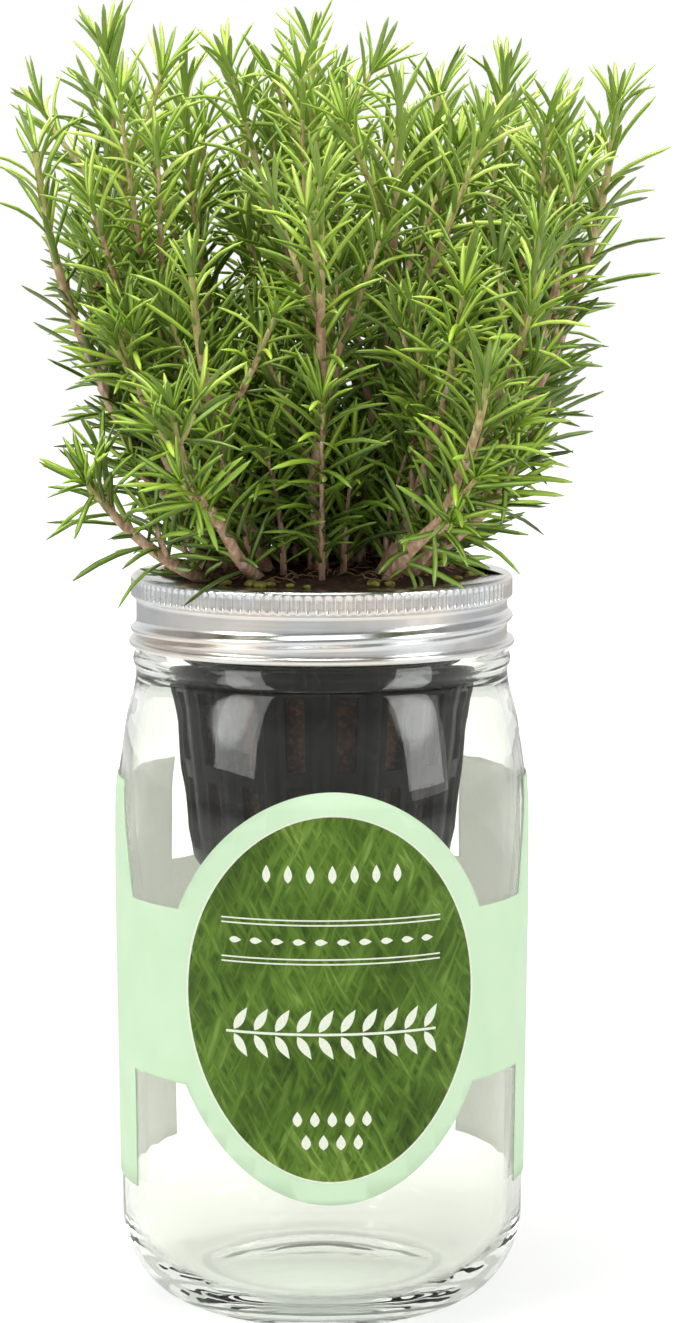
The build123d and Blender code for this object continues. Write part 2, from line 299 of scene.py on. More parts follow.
# Matt studio paint: pale and even, with a soft shadow and no shine
floor_paint = new_material("matt_studio_paint")
lighting_side = node(floor_paint, "BsdfDiffuse", {"Color": linear("E4E4E2")})
seen_side = node(floor_paint, "BsdfDiffuse", {"Color": linear("BCBCBA")})
floor_place = node(floor_paint, "TexCoord").outputs["Object"]
from_jar = node(floor_paint, "VectorMath", {0: floor_place}, operation="LENGTH").outputs["Value"]
glow_there = node(floor_paint, "ValToRGB", {"Fac": from_jar}, FLOOR_GLOW)
glow = node(floor_paint, "Emission", {"Color": linear("FFFFFF"), "Strength": glow_there})
seen_white = node(floor_paint, "AddShader", {0: seen_side, 1: glow})
sides = {0: seen_straight(floor_paint), 1: lighting_side, 2: seen_white}
surface(floor_paint, node(floor_paint, "MixShader", sides))
floor_mesh.materials.append(floor_paint)

# %% Sky
SKY_FILL, SKY_BEHIND = 0.52, 0.22  # a little more light comes from behind than from the front
SKY_REFLECTED = 0.2  # reflections see the sky this much brighter than it lights

world = bpy.data.worlds.new("studio")
bpy.context.scene.world = world
world.use_nodes = True
world.node_tree.nodes.clear()
way = node(world, "TexCoord").outputs["Generated"]
way_x, way_y, way_z = node(world, "SeparateXYZ", {"Vector": way}).outputs
reflected = node(world, "LightPath").outputs["Is Glossy Ray"]
fill = node(world, "Math", {0: way_y, 1: SKY_BEHIND, 2: SKY_FILL}, operation="MULTIPLY_ADD")
fill = node(world, "Math", {0: reflected, 1: SKY_REFLECTED, 2: fill}, operation="MULTIPLY_ADD")

# %% Ceiling and panels that only reflections see
# Each pair is how far up, or how straight towards the panel, a reflection looks, and what it sees.
CEILING = [(0.05, 1.0), (0.3, 0.9), (0.42, 0.45), (0.75, 0.45), (0.9, 0.7)]
SIDE_PANEL, TOP_PANEL = [(0.968, 0.0), (0.982, 1.0)], [(0.8, 0.0), (0.92, 0.55)]
PANEL_X, PANEL_Y, PANEL_Z = 0.80, -0.443, 0.407  # the way to a side panel: out, forwards and up
PANEL_STRENGTH = 5.0

ceiling = node(world, "ValToRGB", {"Fac": way_z}, CEILING)
lighting = node(world, "Math", {0: 1.0, 1: reflected}, operation="SUBTRACT")
shade = node(world, "Math", {0: lighting, 1: ceiling}, operation="MAXIMUM")
sideways = node(world, "Math", {0: way_x}, operation="ABSOLUTE")
toward = node(world, "Math", {0: sideways, 1: PANEL_X}, operation="MULTIPLY")
toward = node(world, "Math", {0: way_y, 1: PANEL_Y, 2: toward}, operation="MULTIPLY_ADD")
toward = node(world, "Math", {0: way_z, 1: PANEL_Z, 2: toward}, operation="MULTIPLY_ADD")
side_panels = node(world, "ValToRGB", {"Fac": toward}, SIDE_PANEL)
top_panel = node(world, "ValToRGB", {"Fac": way_z}, TOP_PANEL)
panels = node(world, "Math", {0: side_panels, 1: top_panel}, operation="MAXIMUM")
panels = node(world, "Math", {0: panels, 1: reflected}, operation="MULTIPLY")
shade = node(world, "Math", {0: panels, 1: PANEL_STRENGTH, 2: shade}, operation="MULTIPLY_ADD")
light = node(world, "Math", {0: fill, 1: shade}, operation="MULTIPLY")
strength = node(world, "Math", {0: light, 1: seen_straight(world)}, operation="MAXIMUM")
background = node(world, "Background", {"Color": linear("FFFFFF"), "Strength": strength})
node(world, "OutputWorld", {"Surface": background})
print("sky", len(world.node_tree.nodes), "nodes")


# %% Lamps
def lamp(name, place, size, power):
    """An area lamp at place, turned to face the jar. Metres and watts."""
    data = bpy.data.lights.new(name, "AREA")
    data.shape = "RECTANGLE"
    data.size, data.size_y = size
    data.energy = power
    made = bpy.data.objects.new(name, data)
    made.location = place
    made.rotation_euler = (Vector(AIM) - Vector(place)).to_track_quat("-Z", "Y").to_euler()
    bpy.context.scene.collection.objects.link(made)
    print(name, power, "W")


AIM = (0, 0, 0.17)
lamp("left_softbox", (-0.9, -0.7, 0.7), (0.6, 0.9), 5.2)
lamp("right_softbox", (0.95, -0.5, 0.6), (0.5, 0.9), 5.0)
lamp("top_softbox", (-0.15, -0.1, 1.2), (0.5, 0.5), 9.5)

# %% [markdown]
# ## Clear soda-lime glass
#
# Soda-lime glass is smooth, bends light at 1.52 and tints green only along a thick edge. A jar is
# pressed and blown in a mould, so its wall is never quite even: a faint, tall ripple is added to
# the normals, which costs no faces. Its outer face is given half the reflection that it has inside
# the wall, because the softboxes of the photograph hardly show there. A plain glass shader would
# leave the pot inside in noisy shade, so shadow rays pass it as through clear film.

# %% Glass material
# Moulded soda-lime glass: clear and sharp, with bright inner edges and a slow waver
RIPPLE_MM = 9.0  # the waver of a moulded wall, four times as tall as wide

glass = new_material("soda_lime_glass_clear")
ripple = object_pattern(glass, RIPPLE_MM, stretch=(1, 1, 0.25), detail=1.0)
waver = node(glass, "Bump", {"Height": ripple, "Strength": 0.16, "Distance": 0.6 * MM})
inside_wall = node(glass, "NewGeometry").outputs["Backfacing"]
tints = {0: inside_wall, MIX_FIRST: linear("989898"), MIX_SECOND: linear("FFFFFF")}
glass_settings = {
    "Base Color": linear("F9FBF5"),
    "Roughness": 0.0,
    "IOR": 1.52,
    "Specular Tint": node(glass, "Mix", tints, data_type="RGBA").outputs[MIXED],
    "Transmission Weight": 1.0,
    "Normal": waver,
}
clear_glass = node(glass, "BsdfPrincipled", glass_settings)
film = node(glass, "BsdfTransparent", {"Color": linear("F2F7F4")})
shadow_ray = node(glass, "LightPath").outputs["Is Shadow Ray"]
surface(glass, node(glass, "MixShader", {0: shadow_ray, 1: clear_glass, 2: film}))

# %% [markdown]
# ## The jar
#
# A jar is a solid of revolution. It could be a thin skin with a Solidify modifier, but its foot is
# far thicker than its wall. So the whole wall, outside and inside, is one outline turned round
# the axis. The outline is drawn with straight runs, arcs and one smooth curve for the shoulder,
# and the thread is then pushed out of the turned mesh along its helix.

# %% Jar sizes, in millimetres
JAR_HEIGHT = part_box("glass_jar")[1].z / MM
JAR_RADIUS = 49.0
HEEL_RADIUS = 48.1
HEEL_HEIGHT = 22.0
FOOT_INNER, FOOT_OUTER = 27.0, 30.0
KICK_HEIGHT = 3.5
FLOOR_HEIGHT, FLOOR_EDGE = 8.5, 6.0
WALL, HEEL_GLASS = 3.0, 3.2
STRAIGHT_LOW, STRAIGHT_HIGH = 96.0, 116.0
SHOULDER = (46.6, 139.3)
PULL_LOW, PULL_MIDDLE, PULL_TOP = 9, 10, 4  # how far its curve runs straight at each place
NECK_RADIUS, NECK_HEIGHT = 44.1, 151.2
BEAD_RADIUS, BEAD_LOW, BEAD_HIGH = 44.8, 152.3, 156.3
BEAD_HALF_FLAT, BEAD_DROP = 1.2, 0.25
FINISH_RADIUS, FINISH_STEP = 41.9, 157.2
MOUTH_RADIUS, MOUTH_LOW = 38.4, 160.0
RIM_ROUND = 1.1
print("jar height", round(JAR_HEIGHT, 1), "mm")


# %% Curves for the jar's outline
def quarter(centre, across, up, steps=14):
    """A quarter of an ellipse, from straight down to straight out."""
    turns = [math.pi / 2 * n / steps for n in range(steps + 1)]
    return [(centre[0] + across * math.sin(t), centre[1] - up * math.cos(t)) for t in turns]


def dome(edge_radius, edge_height, top_height, steps=10):
    """A shallow dome from the axis out to its edge."""
    rise = top_height - edge_height
    shares = [n / steps for n in range(steps + 1)]
    return [(edge_radius * s, edge_height + rise * (1 - s * s)) for s in shares]


def shoulder(shift, top):
    """The shoulder's curve, moved in by shift, up to its narrow end."""
    wide = (JAR_RADIUS - shift, STRAIGHT_HIGH)
    middle = Vector((SHOULDER[0] - shift, 0, SHOULDER[1]))
    lean = Vector((top[0] - wide[0], 0, top[1] - wide[1])).normalized() * PULL_MIDDLE
    low_end, low_pull = Vector((wide[0], 0, wide[1])), Vector((wide[0], 0, wide[1] + PULL_LOW))
    top_end, top_pull = Vector((top[0], 0, top[1])), Vector((top[0], 0, top[1] - PULL_TOP))
    first = interpolate_bezier(low_end, low_pull, middle - lean, middle, 14)
    second = interpolate_bezier(middle, middle + lean * 0.5, top_pull, top_end, 10)
    return [(p.x, p.z) for p in first + second[1:]]


# %% The jar's outline, up the outside, over the rim and down the inside
FINISH_ROWS = 28  # close enough for the thread to be pushed out smoothly

outside = dome(FOOT_INNER, 0, KICK_HEIGHT) + [(FOOT_OUTER, 0)]
outside += quarter((FOOT_OUTER, HEEL_HEIGHT), HEEL_RADIUS - FOOT_OUTER, HEEL_HEIGHT)[1:]
outside += [(JAR_RADIUS, STRAIGHT_LOW)]
outside += shoulder(0, (NECK_RADIUS, NECK_HEIGHT)) + [(NECK_RADIUS, BEAD_LOW)]
bead_middle = (BEAD_LOW + BEAD_HIGH) / 2
outside += [(BEAD_RADIUS - BEAD_DROP, bead_middle - BEAD_HALF_FLAT), (BEAD_RADIUS, bead_middle)]
outside += [(BEAD_RADIUS - BEAD_DROP, bead_middle + BEAD_HALF_FLAT), (NECK_RADIUS, BEAD_HIGH)]
outside += [(FINISH_RADIUS, FINISH_STEP)]
finish_top = JAR_HEIGHT - RIM_ROUND
outside += [
    (FINISH_RADIUS, FINISH_STEP + (finish_top - FINISH_STEP) * (n + 1) / FINISH_ROWS)
    for n in range(FINISH_ROWS)
]
rim_outer = arc((FINISH_RADIUS - RIM_ROUND, finish_top), RIM_ROUND, 0, 90, 5)[1:]
rim_inner = arc((MOUTH_RADIUS + RIM_ROUND, finish_top), RIM_ROUND, 90, 180, 5)
inside = dome(FOOT_OUTER, FLOOR_EDGE, FLOOR_HEIGHT)
inner_heel = HEEL_RADIUS - HEEL_GLASS
inside += quarter((FOOT_OUTER, HEEL_HEIGHT), inner_heel - FOOT_OUTER, HEEL_HEIGHT - FLOOR_EDGE)[1:]
inside += [(JAR_RADIUS - WALL, STRAIGHT_LOW)]
inside += shoulder(WALL, (MOUTH_RADIUS, MOUTH_LOW))
jar_outline = outside + rim_outer + rim_inner + inside[::-1]
print("jar outline", len(jar_outline), "points")

# %% The thread's helix, which the band's bulge follows too
THREAD_FADE, BULGE_FADE = 0.35, 0.5  # radians over which each fades out at its ends
THREAD_PITCH, THREAD_TURNS, THREAD_FRONT = 6.35, 0.7, 163.0


def thread_height(x, y, fade):
    """The thread's height at this side of the jar, and how full it is there, from 0 to 1."""
    angle = math.atan2(y, x) + math.pi / 2
    angle = (angle + math.pi) % TURN - math.pi
    height = THREAD_FRONT + THREAD_PITCH * angle / TURN
    half_length = THREAD_TURNS * math.pi
    full = min(1, max(0, (half_length - abs(angle)) / fade))
    return height, full * full * (3 - 2 * full)


print("thread at the front", round(thread_height(0, -1, THREAD_FADE)[0], 1), "mm up")

# %% Turn the jar and raise its thread
JAR_STEPS, JAR_WEDGES = 192, 16
THREAD_CREST, THREAD_ROUND = 43.2, 1.8
WALL_SKIN = 0.2  # how near to the finish's radius the outer wall's corners lie

jar_bm = turned(jar_outline, JAR_STEPS, wedges=JAR_WEDGES)
for v in jar_bm.verts:
    radius = math.hypot(v.co.x, v.co.y)
    if abs(radius - FINISH_RADIUS * MM) > WALL_SKIN * MM:
        continue
    height, full = thread_height(v.co.x, v.co.y, THREAD_FADE)
    away = abs(v.co.z - height * MM) / (THREAD_ROUND * MM)
    if away < 1 and full > 0:
        rise = (THREAD_CREST - FINISH_RADIUS) * MM * full * math.cos(away * math.pi / 2)
        v.co.x *= (radius + rise) / radius
        v.co.y *= (radius + rise) / radius
outwards(jar_bm)
piece(jar_bm, "canning_jar", [glass], "jar", ["glass_jar"])

# %% [markdown]
# ## The screw band
#
# A screw band is rolled from tinned steel sheet. Its ring is knurled with fine upright flutes for
# grip, a helical bulge takes the jar's thread, and its lower edge is curled outwards so that it
# isn't sharp. A texture could fake the flutes, but they show in the outline. So one outline of the
# sheet, outside and inside, is turned round the axis in steps that share out evenly over the
# flutes, and the flutes and the bulge then push the wall in and out.

# %% Tinplate material
# Bright rolled tinplate: a soft mirror, a little cloudy, with warm and cool reflections painted
# into its colour in broad patches, and fine streaks that run round the band. The streaks are drawn
# coarser than the real ones, or none would show.
STREAK_MM, STREAK_STRETCH = 3.0, (0.05, 0.05, 6.0)  # 60 mm long and 0.5 mm apart
CLOUD_MM, PAINTED_REFLECTION_MM = 5.0, 30.0

tinplate = new_material("rolled_tinplate_bright")
streaks = object_pattern(tinplate, STREAK_MM, stretch=STREAK_STRETCH, detail=3.0)
cloudy = object_pattern(tinplate, CLOUD_MM, detail=4.0, roughness=0.6)
# warm and cool reflections painted into the metal's colour, in broad patches
painted_reflection_patches = object_pattern(tinplate, PAINTED_REFLECTION_MM, stretch=(1, 1, 2.5), detail=1.0)
tin_cloud = node(tinplate, "ValToRGB", {"Fac": cloudy}, [(0.3, "D8D6D3"), (0.7, "E9E8E5")])
tin_painted_reflection = node(tinplate, "ValToRGB", {"Fac": painted_reflection_patches}, [(0.4, "DDE3E8"), (0.6, "EFE4D8")])
tin_parts = {0: 0.5, MIX_FIRST: tin_cloud, MIX_SECOND: tin_painted_reflection}
tin_bump = node(tinplate, "Bump", {"Height": streaks, "Strength": 0.12, "Distance": 0.1 * MM})
tin_settings = {
    "Base Color": node(tinplate, "Mix", tin_parts, data_type="RGBA").outputs[MIXED],
    "Metallic": 1.0,
    "Roughness": node(tinplate, "Math", {0: cloudy, 1: 0.14, 2: 0.14}, operation="MULTIPLY_ADD"),
    "Normal": tin_bump,
}
surface(tinplate, node(tinplate, "BsdfPrincipled", tin_settings))

# %% Band sizes, in millimetres
BAND_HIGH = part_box("screw_band")[1].z / MM
BAND_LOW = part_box("screw_band")[0].z / MM
LIP_RADIUS, LIP_SHEET = 39.2, 0.5
RING_RADIUS, RING_LOW, RING_SLOPE = 45.2, 169.6, 1.4
RING_ROUND = 1.3
WAIST_RADIUS, SHEET = 43.95, 0.45
BULGE_RADIUS, BULGE_HALF_HIGH = 45.3, 2.0
CURL_RADIUS, CURL_ROUND = 45.7, 1.0
FLUTES, STEPS_A_FLUTE = 123, 6
FLUTE_DEPTH = 0.7
FLUTE_TOP, FLUTE_BOTTOM = 173.6, 168.9
print("band height", round(BAND_HIGH - BAND_LOW, 1), "mm")


# %% The sheet's outline, down the outside and up the inside
def rows(radius, start, end, count):
    """Evenly spaced points up or down a straight wall, without its first."""
    return [(radius, start + (end - start) * (n + 1) / count) for n in range(count)]


ring_top = BAND_HIGH - RING_ROUND
band_outside = [(LIP_RADIUS + out, BAND_HIGH) for out in (0, 1.4, 3.0)]
band_outside += arc((RING_RADIUS - RING_ROUND, ring_top), RING_ROUND, 90, 0, 6)
band_outside += rows(RING_RADIUS, ring_top, RING_LOW, 8)
slope = [n / 6 for n in range(1, 7)]
waist_top = RING_LOW - RING_SLOPE
smooth_slope = [s * s * (3 - 2 * s) for s in slope]
drop = RING_RADIUS - WAIST_RADIUS
band_outside += [
    (RING_RADIUS - drop * e, RING_LOW - RING_SLOPE * s) for s, e in zip(slope, smooth_slope)
]
curl_middle = (CURL_RADIUS - CURL_ROUND, BAND_LOW + CURL_ROUND)
curl_start = curl_middle[1] + CURL_ROUND * 0.95
band_outside += rows(WAIST_RADIUS, waist_top, curl_start, 16)
band_outside += arc(curl_middle, CURL_ROUND, 135, -180, 14)
curl_end = band_outside[-1]
waist_inside = WAIST_RADIUS - SHEET
band_inside = [(waist_inside, curl_end[1])]
band_inside += rows(waist_inside, curl_end[1], waist_top, 12)
band_inside += [
    (waist_inside + drop * e, waist_top + RING_SLOPE * s) for s, e in zip(slope, smooth_slope)
]
inner_ring = RING_RADIUS - SHEET
band_inside += rows(inner_ring, RING_LOW, BAND_HIGH - LIP_SHEET - 1, 2)
band_inside += arc((inner_ring - 1, BAND_HIGH - LIP_SHEET - 1), 1, 0, 90, 4)[1:]
band_inside += [(LIP_RADIUS, BAND_HIGH - LIP_SHEET)]
print("band outline", len(band_outside + band_inside), "points")

# %% Turn the band, then press in its flutes and bulge
BAND_WEDGES = 41  # a wedge is three flutes wide
FADE_HIGH, FADE_LOW = 0.6, 0.8  # over how much height a flute starts and ends

band_bm = turned(band_outside + band_inside, FLUTES * STEPS_A_FLUTE, True, BAND_WEDGES)
for v in band_bm.verts:
    radius, height = math.hypot(v.co.x, v.co.y) / MM, v.co.z / MM
    moved = radius
    if FLUTE_BOTTOM < height < FLUTE_TOP and radius > waist_inside + 0.3:
        wave = 0.5 + 0.5 * math.cos(FLUTES * math.atan2(v.co.y, v.co.x))
        fade = min(1, (height - FLUTE_BOTTOM) / FADE_LOW, (FLUTE_TOP - height) / FADE_HIGH)
        moved -= FLUTE_DEPTH * fade * wave**2
    elif curl_start < height < waist_top and radius < WAIST_RADIUS + 0.1:
        bulge_height, full = thread_height(v.co.x, v.co.y, BULGE_FADE)
        away = abs(height - bulge_height) / BULGE_HALF_HIGH
        if away < 1:
            moved += (BULGE_RADIUS - WAIST_RADIUS) * full * (0.5 + 0.5 * math.cos(away * math.pi))
    v.co.x *= moved / radius
    v.co.y *= moved / radius
outwards(band_bm)
piece(band_bm, "fluted_band", [tinplate], "band", ["screw_band"])

# %% [markdown]
# ## The net pot
#
# The net pot is moulded in dark polypropylene: a tapered wall with two rows of tall slots, ribs
# between them, a hoop below the rim and a slotted base. The slots could be cut with booleans, but
# that leaves long, ragged faces. Here its wall is turned as one skin whose steps fall on the edges
# of the slots. The faces in the slots are taken out, and a Solidify and a Bevel modifier give the
# rest its thickness and its soft moulded edges.

# %% Pot material
# Moulded black polypropylene: near black and half glossy, duller where it is damp or dusty, with
# the fine grain of the mould. The grain is drawn at 0.6 mm, coarser than a real mould's.
HAZE_MM, MOULD_GRAIN_MM = 6.0, 0.6

pot_plastic = new_material("moulded_polypropylene_black")
haze = object_pattern(pot_plastic, HAZE_MM, detail=3.0)
grain = object_pattern(pot_plastic, MOULD_GRAIN_MM, detail=2.0)
pot_settings = {
    "Base Color": node(pot_plastic, "ValToRGB", {"Fac": haze}, [(0.3, "0C0B0A"), (0.75, "1A1715")]),
    "Roughness": node(pot_plastic, "Math", {0: haze, 1: 0.25, 2: 0.12}, operation="MULTIPLY_ADD"),
    "IOR": 1.49,
    "Specular IOR Level": 0.12,
    "Normal": node(pot_plastic, "Bump", {"Height": grain, "Strength": 0.15, "Distance": 0.1 * MM}),
}
surface(pot_plastic, node(pot_plastic, "BsdfPrincipled", pot_settings))

# %% Pot sizes, in millimetres
POT_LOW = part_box("net_pot")[0].z / MM
FLANGE_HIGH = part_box("net_pot")[1].z / MM
FLANGE_LOW = JAR_HEIGHT
FLANGE_RADIUS = 41.4
POT_TOP_RADIUS, POT_BASE_RADIUS, POT_BASE_ROUND, POT_WALL = 36.0, 29.2, 4.0, 1.2
FLANGE_FILLET, FLANGE_MIDDLE = 0.8, 39.5
HOOP_HEIGHT, HOOP_WIDE, HOOP_DEPTH, HOOP_EDGE = 153.0, 2.4, 0.7, 0.3
RIB_DEPTH, RIB_WIDE = 0.7, 1.6
SLOTS, SLOT_WIDE = 18, 4.6
SLOT_ROWS = ((110.0, 127.0), (131.5, 149.5))
BASE_SLOTS, BASE_SLOT_WIDE, BASE_SLOT_FROM, BASE_SLOT_TO = 9, 3.2, 7.0, 22.0
STEPS_A_SLOT = 16


def pot_radius(height):
    """The outside of the pot's tapered wall."""
    rise = (POT_TOP_RADIUS - POT_BASE_RADIUS) * (height - POT_LOW)
    return POT_BASE_RADIUS + rise / (JAR_HEIGHT - POT_LOW)


print("pot radius", round(pot_radius(POT_LOW), 1), "to", round(pot_radius(JAR_HEIGHT), 1), "mm")

# %% The pot's outline, from the middle of its base to its flange
base_rows = [0, BASE_SLOT_FROM, 10, 14, 18, BASE_SLOT_TO]
pot_line = [(r, POT_LOW) for r in base_rows]
round_middle = (pot_radius(POT_LOW) - POT_BASE_ROUND + 0.3, POT_LOW + POT_BASE_ROUND)
pot_line += arc(round_middle, POT_BASE_ROUND, -90, -3, 8)
wall_heights = [SLOT_ROWS[0][0], 114, 118, 122.5, SLOT_ROWS[0][1], 129.2]
wall_heights += [SLOT_ROWS[1][0], 136, 140.5, 145, SLOT_ROWS[1][1]]
pot_line += [(pot_radius(h), h) for h in wall_heights]
hoop_low, hoop_top = HOOP_HEIGHT - HOOP_WIDE / 2, HOOP_HEIGHT + HOOP_WIDE / 2
hoop_line = ((hoop_low - HOOP_EDGE, 0), (hoop_low, 1), (hoop_top, 1), (hoop_top + HOOP_EDGE, 0))
pot_line += [(pot_radius(height) + HOOP_DEPTH * out, height) for height, out in hoop_line]
pot_line += [(pot_radius(h), h) for h in (160, 166, FLANGE_LOW - FLANGE_FILLET)]
pot_line += [(pot_radius(FLANGE_LOW) + FLANGE_FILLET, FLANGE_LOW)]
pot_line += [(r, FLANGE_LOW) for r in (FLANGE_MIDDLE, FLANGE_RADIUS)]
print("pot outline", len(pot_line), "points")


# %% Turn the pot's skin and open its slots
def off_middle(angle, count):
    """Degrees from the middle of the nearest of count slots, spaced evenly round the axis."""
    return abs((angle + 180 / count) % (360 / count) - 180 / count)


pot_bm = turned(pot_line, SLOTS * STEPS_A_SLOT)
slot_faces = []
for face in pot_bm.faces:
    middle = face.calc_center_median() / MM
    radius, angle = math.hypot(middle.x, middle.y), math.degrees(math.atan2(middle.y, middle.x))
    off_slot, off_base = off_middle(angle, SLOTS), off_middle(angle, BASE_SLOTS)
    in_row = any(low < middle.z < high for low, high in SLOT_ROWS)
    if in_row and math.radians(off_slot) * radius < SLOT_WIDE / 2:
        slot_faces.append(face)
    in_base = middle.z < POT_LOW + 0.01 and BASE_SLOT_FROM < radius < BASE_SLOT_TO
    if in_base and math.radians(off_base) * radius < BASE_SLOT_WIDE / 2:
        slot_faces.append(face)
bmesh.ops.delete(pot_bm, geom=slot_faces, context="FACES")
print("slot faces taken out", len(slot_faces))

# %% Push out its ribs and give the skin its wall
EDGE_ROUND = 0.2

for v in pot_bm.verts:
    radius, height = math.hypot(v.co.x, v.co.y) / MM, v.co.z / MM
    angle = math.degrees(math.atan2(v.co.y, v.co.x)) - 180 / SLOTS
    off_rib = math.radians(off_middle(angle, SLOTS)) * radius
    if SLOT_ROWS[0][0] <= height <= hoop_low and off_rib < RIB_WIDE / 2:
        v.co.x *= (radius + RIB_DEPTH) / radius
        v.co.y *= (radius + RIB_DEPTH) / radius
outwards(pot_bm)
pot = piece(pot_bm, "slotted_pot", [pot_plastic], "pot", ["net_pot"])
modifier(pot, "SOLIDIFY", thickness=POT_WALL * MM, offset=-1)
sharp = {"limit_method": "ANGLE", "angle_limit": math.radians(50)}
modifier(pot, "BEVEL", width=EDGE_ROUND * MM, segments=2, **sharp)

# %% [markdown]
# ## Damp coir
#
# The net pot is packed with coir, the shredded husk of coconuts: dark red-brown crumbs with short
# pale fibres, and a little yellow-green moss where it meets the rim. A bump map alone would leave
# its edge too smooth. So the plug is one turned outline, cut finely, whose skin is pushed in and
# out by noise, and fibres and moss are small separate shapes set on it.

# %% Coir, fibre and moss materials
# Damp coir: dark crumbs of 1 to 2 mm with paler husk between them, matt
coir = new_material("damp_coir_crumbs")
crumbs = object_pattern(coir, 1.4, detail=6.0, roughness=0.7)
patches = object_pattern(coir, 9.0, detail=2.0)
crumb_colours = [(0.3, "1B0F08"), (0.5, "3A2115"), (0.68, "6E4630"), (0.8, "8F6A4C")]
coir_settings = {
    "Base Color": node(coir, "ValToRGB", {"Fac": crumbs}, crumb_colours),
    "Roughness": node(coir, "Math", {0: patches, 1: 0.2, 2: 0.7}, operation="MULTIPLY_ADD"),
    "Normal": node(coir, "Bump", {"Height": crumbs, "Strength": 0.9, "Distance": 0.5 * MM}),
}
surface(coir, node(coir, "BsdfPrincipled", coir_settings))

# Coconut fibre: dry straw-brown threads, paler along some lengths
fibre = new_material("coconut_husk_fibre")
fibre_tone = object_pattern(fibre, 4.0, detail=2.0)
fibre_colour = node(fibre, "ValToRGB", {"Fac": fibre_tone}, [(0.3, "6B4A2E"), (0.7, "B08F66")])
surface(fibre, node(fibre, "BsdfPrincipled", {"Base Color": fibre_colour, "Roughness": 0.75}))

# Dry cushion moss: yellow-green and dull, rough as felt. Its shoots are drawn 1.2 mm wide.
moss = new_material("cushion_moss_dry")
moss_tone = object_pattern(moss, 1.2, detail=4.0)
moss_settings = {
    "Base Color": node(moss, "ValToRGB", {"Fac": moss_tone}, [(0.3, "5C5A22"), (0.7, "A9A24C")]),
    "Roughness": 0.9,
    "Normal": node(moss, "Bump", {"Height": moss_tone, "Strength": 0.8, "Distance": 0.4 * MM}),
}
surface(moss, node(moss, "BsdfPrincipled", moss_settings))

# %% Coir plug
SOIL_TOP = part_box("growing_medium")[1].z / MM
SOIL_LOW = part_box("growing_medium")[0].z / MM
SOIL_EDGE_RADIUS = 38.7
SOIL_EDGE = FLANGE_HIGH + 0.4
PLUG_GAP = 0.45
SOIL_ROWS, SIDE_ROWS, SOIL_STEPS = 30, 40, 160
CRUMB_MM, CRUMB_RISE, CRUMB_SINK, SIDE_RISE = 3.0, 0.7, 0.3, 0.25


def soil_height(radius):
    """The mound's height this far from the axis."""
    return SOIL_TOP - (SOIL_TOP - SOIL_EDGE) * (radius / SOIL_EDGE_RADIUS) ** 2


def plug_radius(height):
    """The plug's side, just inside the pot's wall."""
    return pot_radius(height) - POT_WALL - PLUG_GAP


top_radii = [SOIL_EDGE_RADIUS * n / SOIL_ROWS for n in range(SOIL_ROWS + 1)]
top_rows = [(r, soil_height(r) - CRUMB_SINK) for r in top_radii]
side_heights = [SOIL_LOW + (FLANGE_HIGH - SOIL_LOW) * n / SIDE_ROWS for n in range(SIDE_ROWS + 1)]
plug_line = [(0, SOIL_LOW), (plug_radius(SOIL_LOW) * 0.5, SOIL_LOW)]
plug_line += [(plug_radius(h), h) for h in side_heights]
plug_line += [(SOIL_EDGE_RADIUS, FLANGE_HIGH)]
print("plug outline", len(plug_line + top_rows), "points")

# %% Turn the plug and crumble its skin
soil_bm = turned(plug_line + top_rows[::-1], SOIL_STEPS)
outwards(soil_bm)
for v in soil_bm.verts:
    radius = math.hypot(v.co.x, v.co.y) / MM
    rough = noise.fractal(v.co / (CRUMB_MM * MM), 0.7, 2.0, 4)
    if v.co.z > (FLANGE_HIGH + 0.2) * MM:
        edge = min(1, (SOIL_EDGE_RADIUS - radius) / 3)
        v.co.z += rough * CRUMB_RISE * edge * MM
    elif v.co.z < (FLANGE_HIGH - 2) * MM and radius > 5:
        v.co.x *= (radius + SIDE_RISE * min(rough, 0.8)) / radius
        v.co.y *= (radius + SIDE_RISE * min(rough, 0.8)) / radius
piece(soil_bm, "coir_plug", [coir], "pot", ["growing_medium"])


# %% A tube that follows points, by extruding a ring
def ring_frames(points):
    """One matrix a point: the ring's centre, with Z along the path and no sudden turns."""
    frames = []
    across = Vector((1, 0, 0))
    for n, point in enumerate(points):
        before, after = points[max(0, n - 1)], points[min(len(points) - 1, n + 1)]
        forward = (after - before).normalized()
        across = across - forward * across.dot(forward)
        if across.length < 0.1:
            across = forward.orthogonal()
        across.normalize()
        turn = Matrix((across, forward.cross(across), forward)).transposed()
        frames.append(Matrix.Translation(point) @ turn.to_4x4())
    return frames


def tube(bm, points, radii, sides=6, paint=None):
    """Adds a closed tube along the points. paint is a layer and one value a point."""
    places = ring_frames(points)
    scaled = [place @ Matrix.Scale(r, 4) for place, r in zip(places, radii)]
    made = bmesh.ops.create_circle(bm, cap_ends=True, segments=sides, radius=1, matrix=scaled[0])
    ring = made["verts"]
    edges = list(dict.fromkeys(e for v in ring for e in v.link_edges))
    bmesh.ops.reverse_faces(bm, faces=ring[0].link_faces[:])
    if paint:
        for v in ring:
            v[paint[0]] = paint[1][0]
    for n in range(1, len(points)):
        grown = bmesh.ops.extrude_edge_only(bm, edges=edges)["geom"]
        ring = [g for g in grown if isinstance(g, bmesh.types.BMVert)]
        new_edges = [g for g in grown if isinstance(g, bmesh.types.BMEdge)]
        edges = [e for e in new_edges if all(v in ring for v in e.verts)]
        bmesh.ops.transform(bm, matrix=scaled[n] @ scaled[n - 1].inverted(), verts=ring)
        if paint:
            for v in ring:
                v[paint[0]] = paint[1][n]
    bmesh.ops.edgeloop_fill(bm, edges=edges)


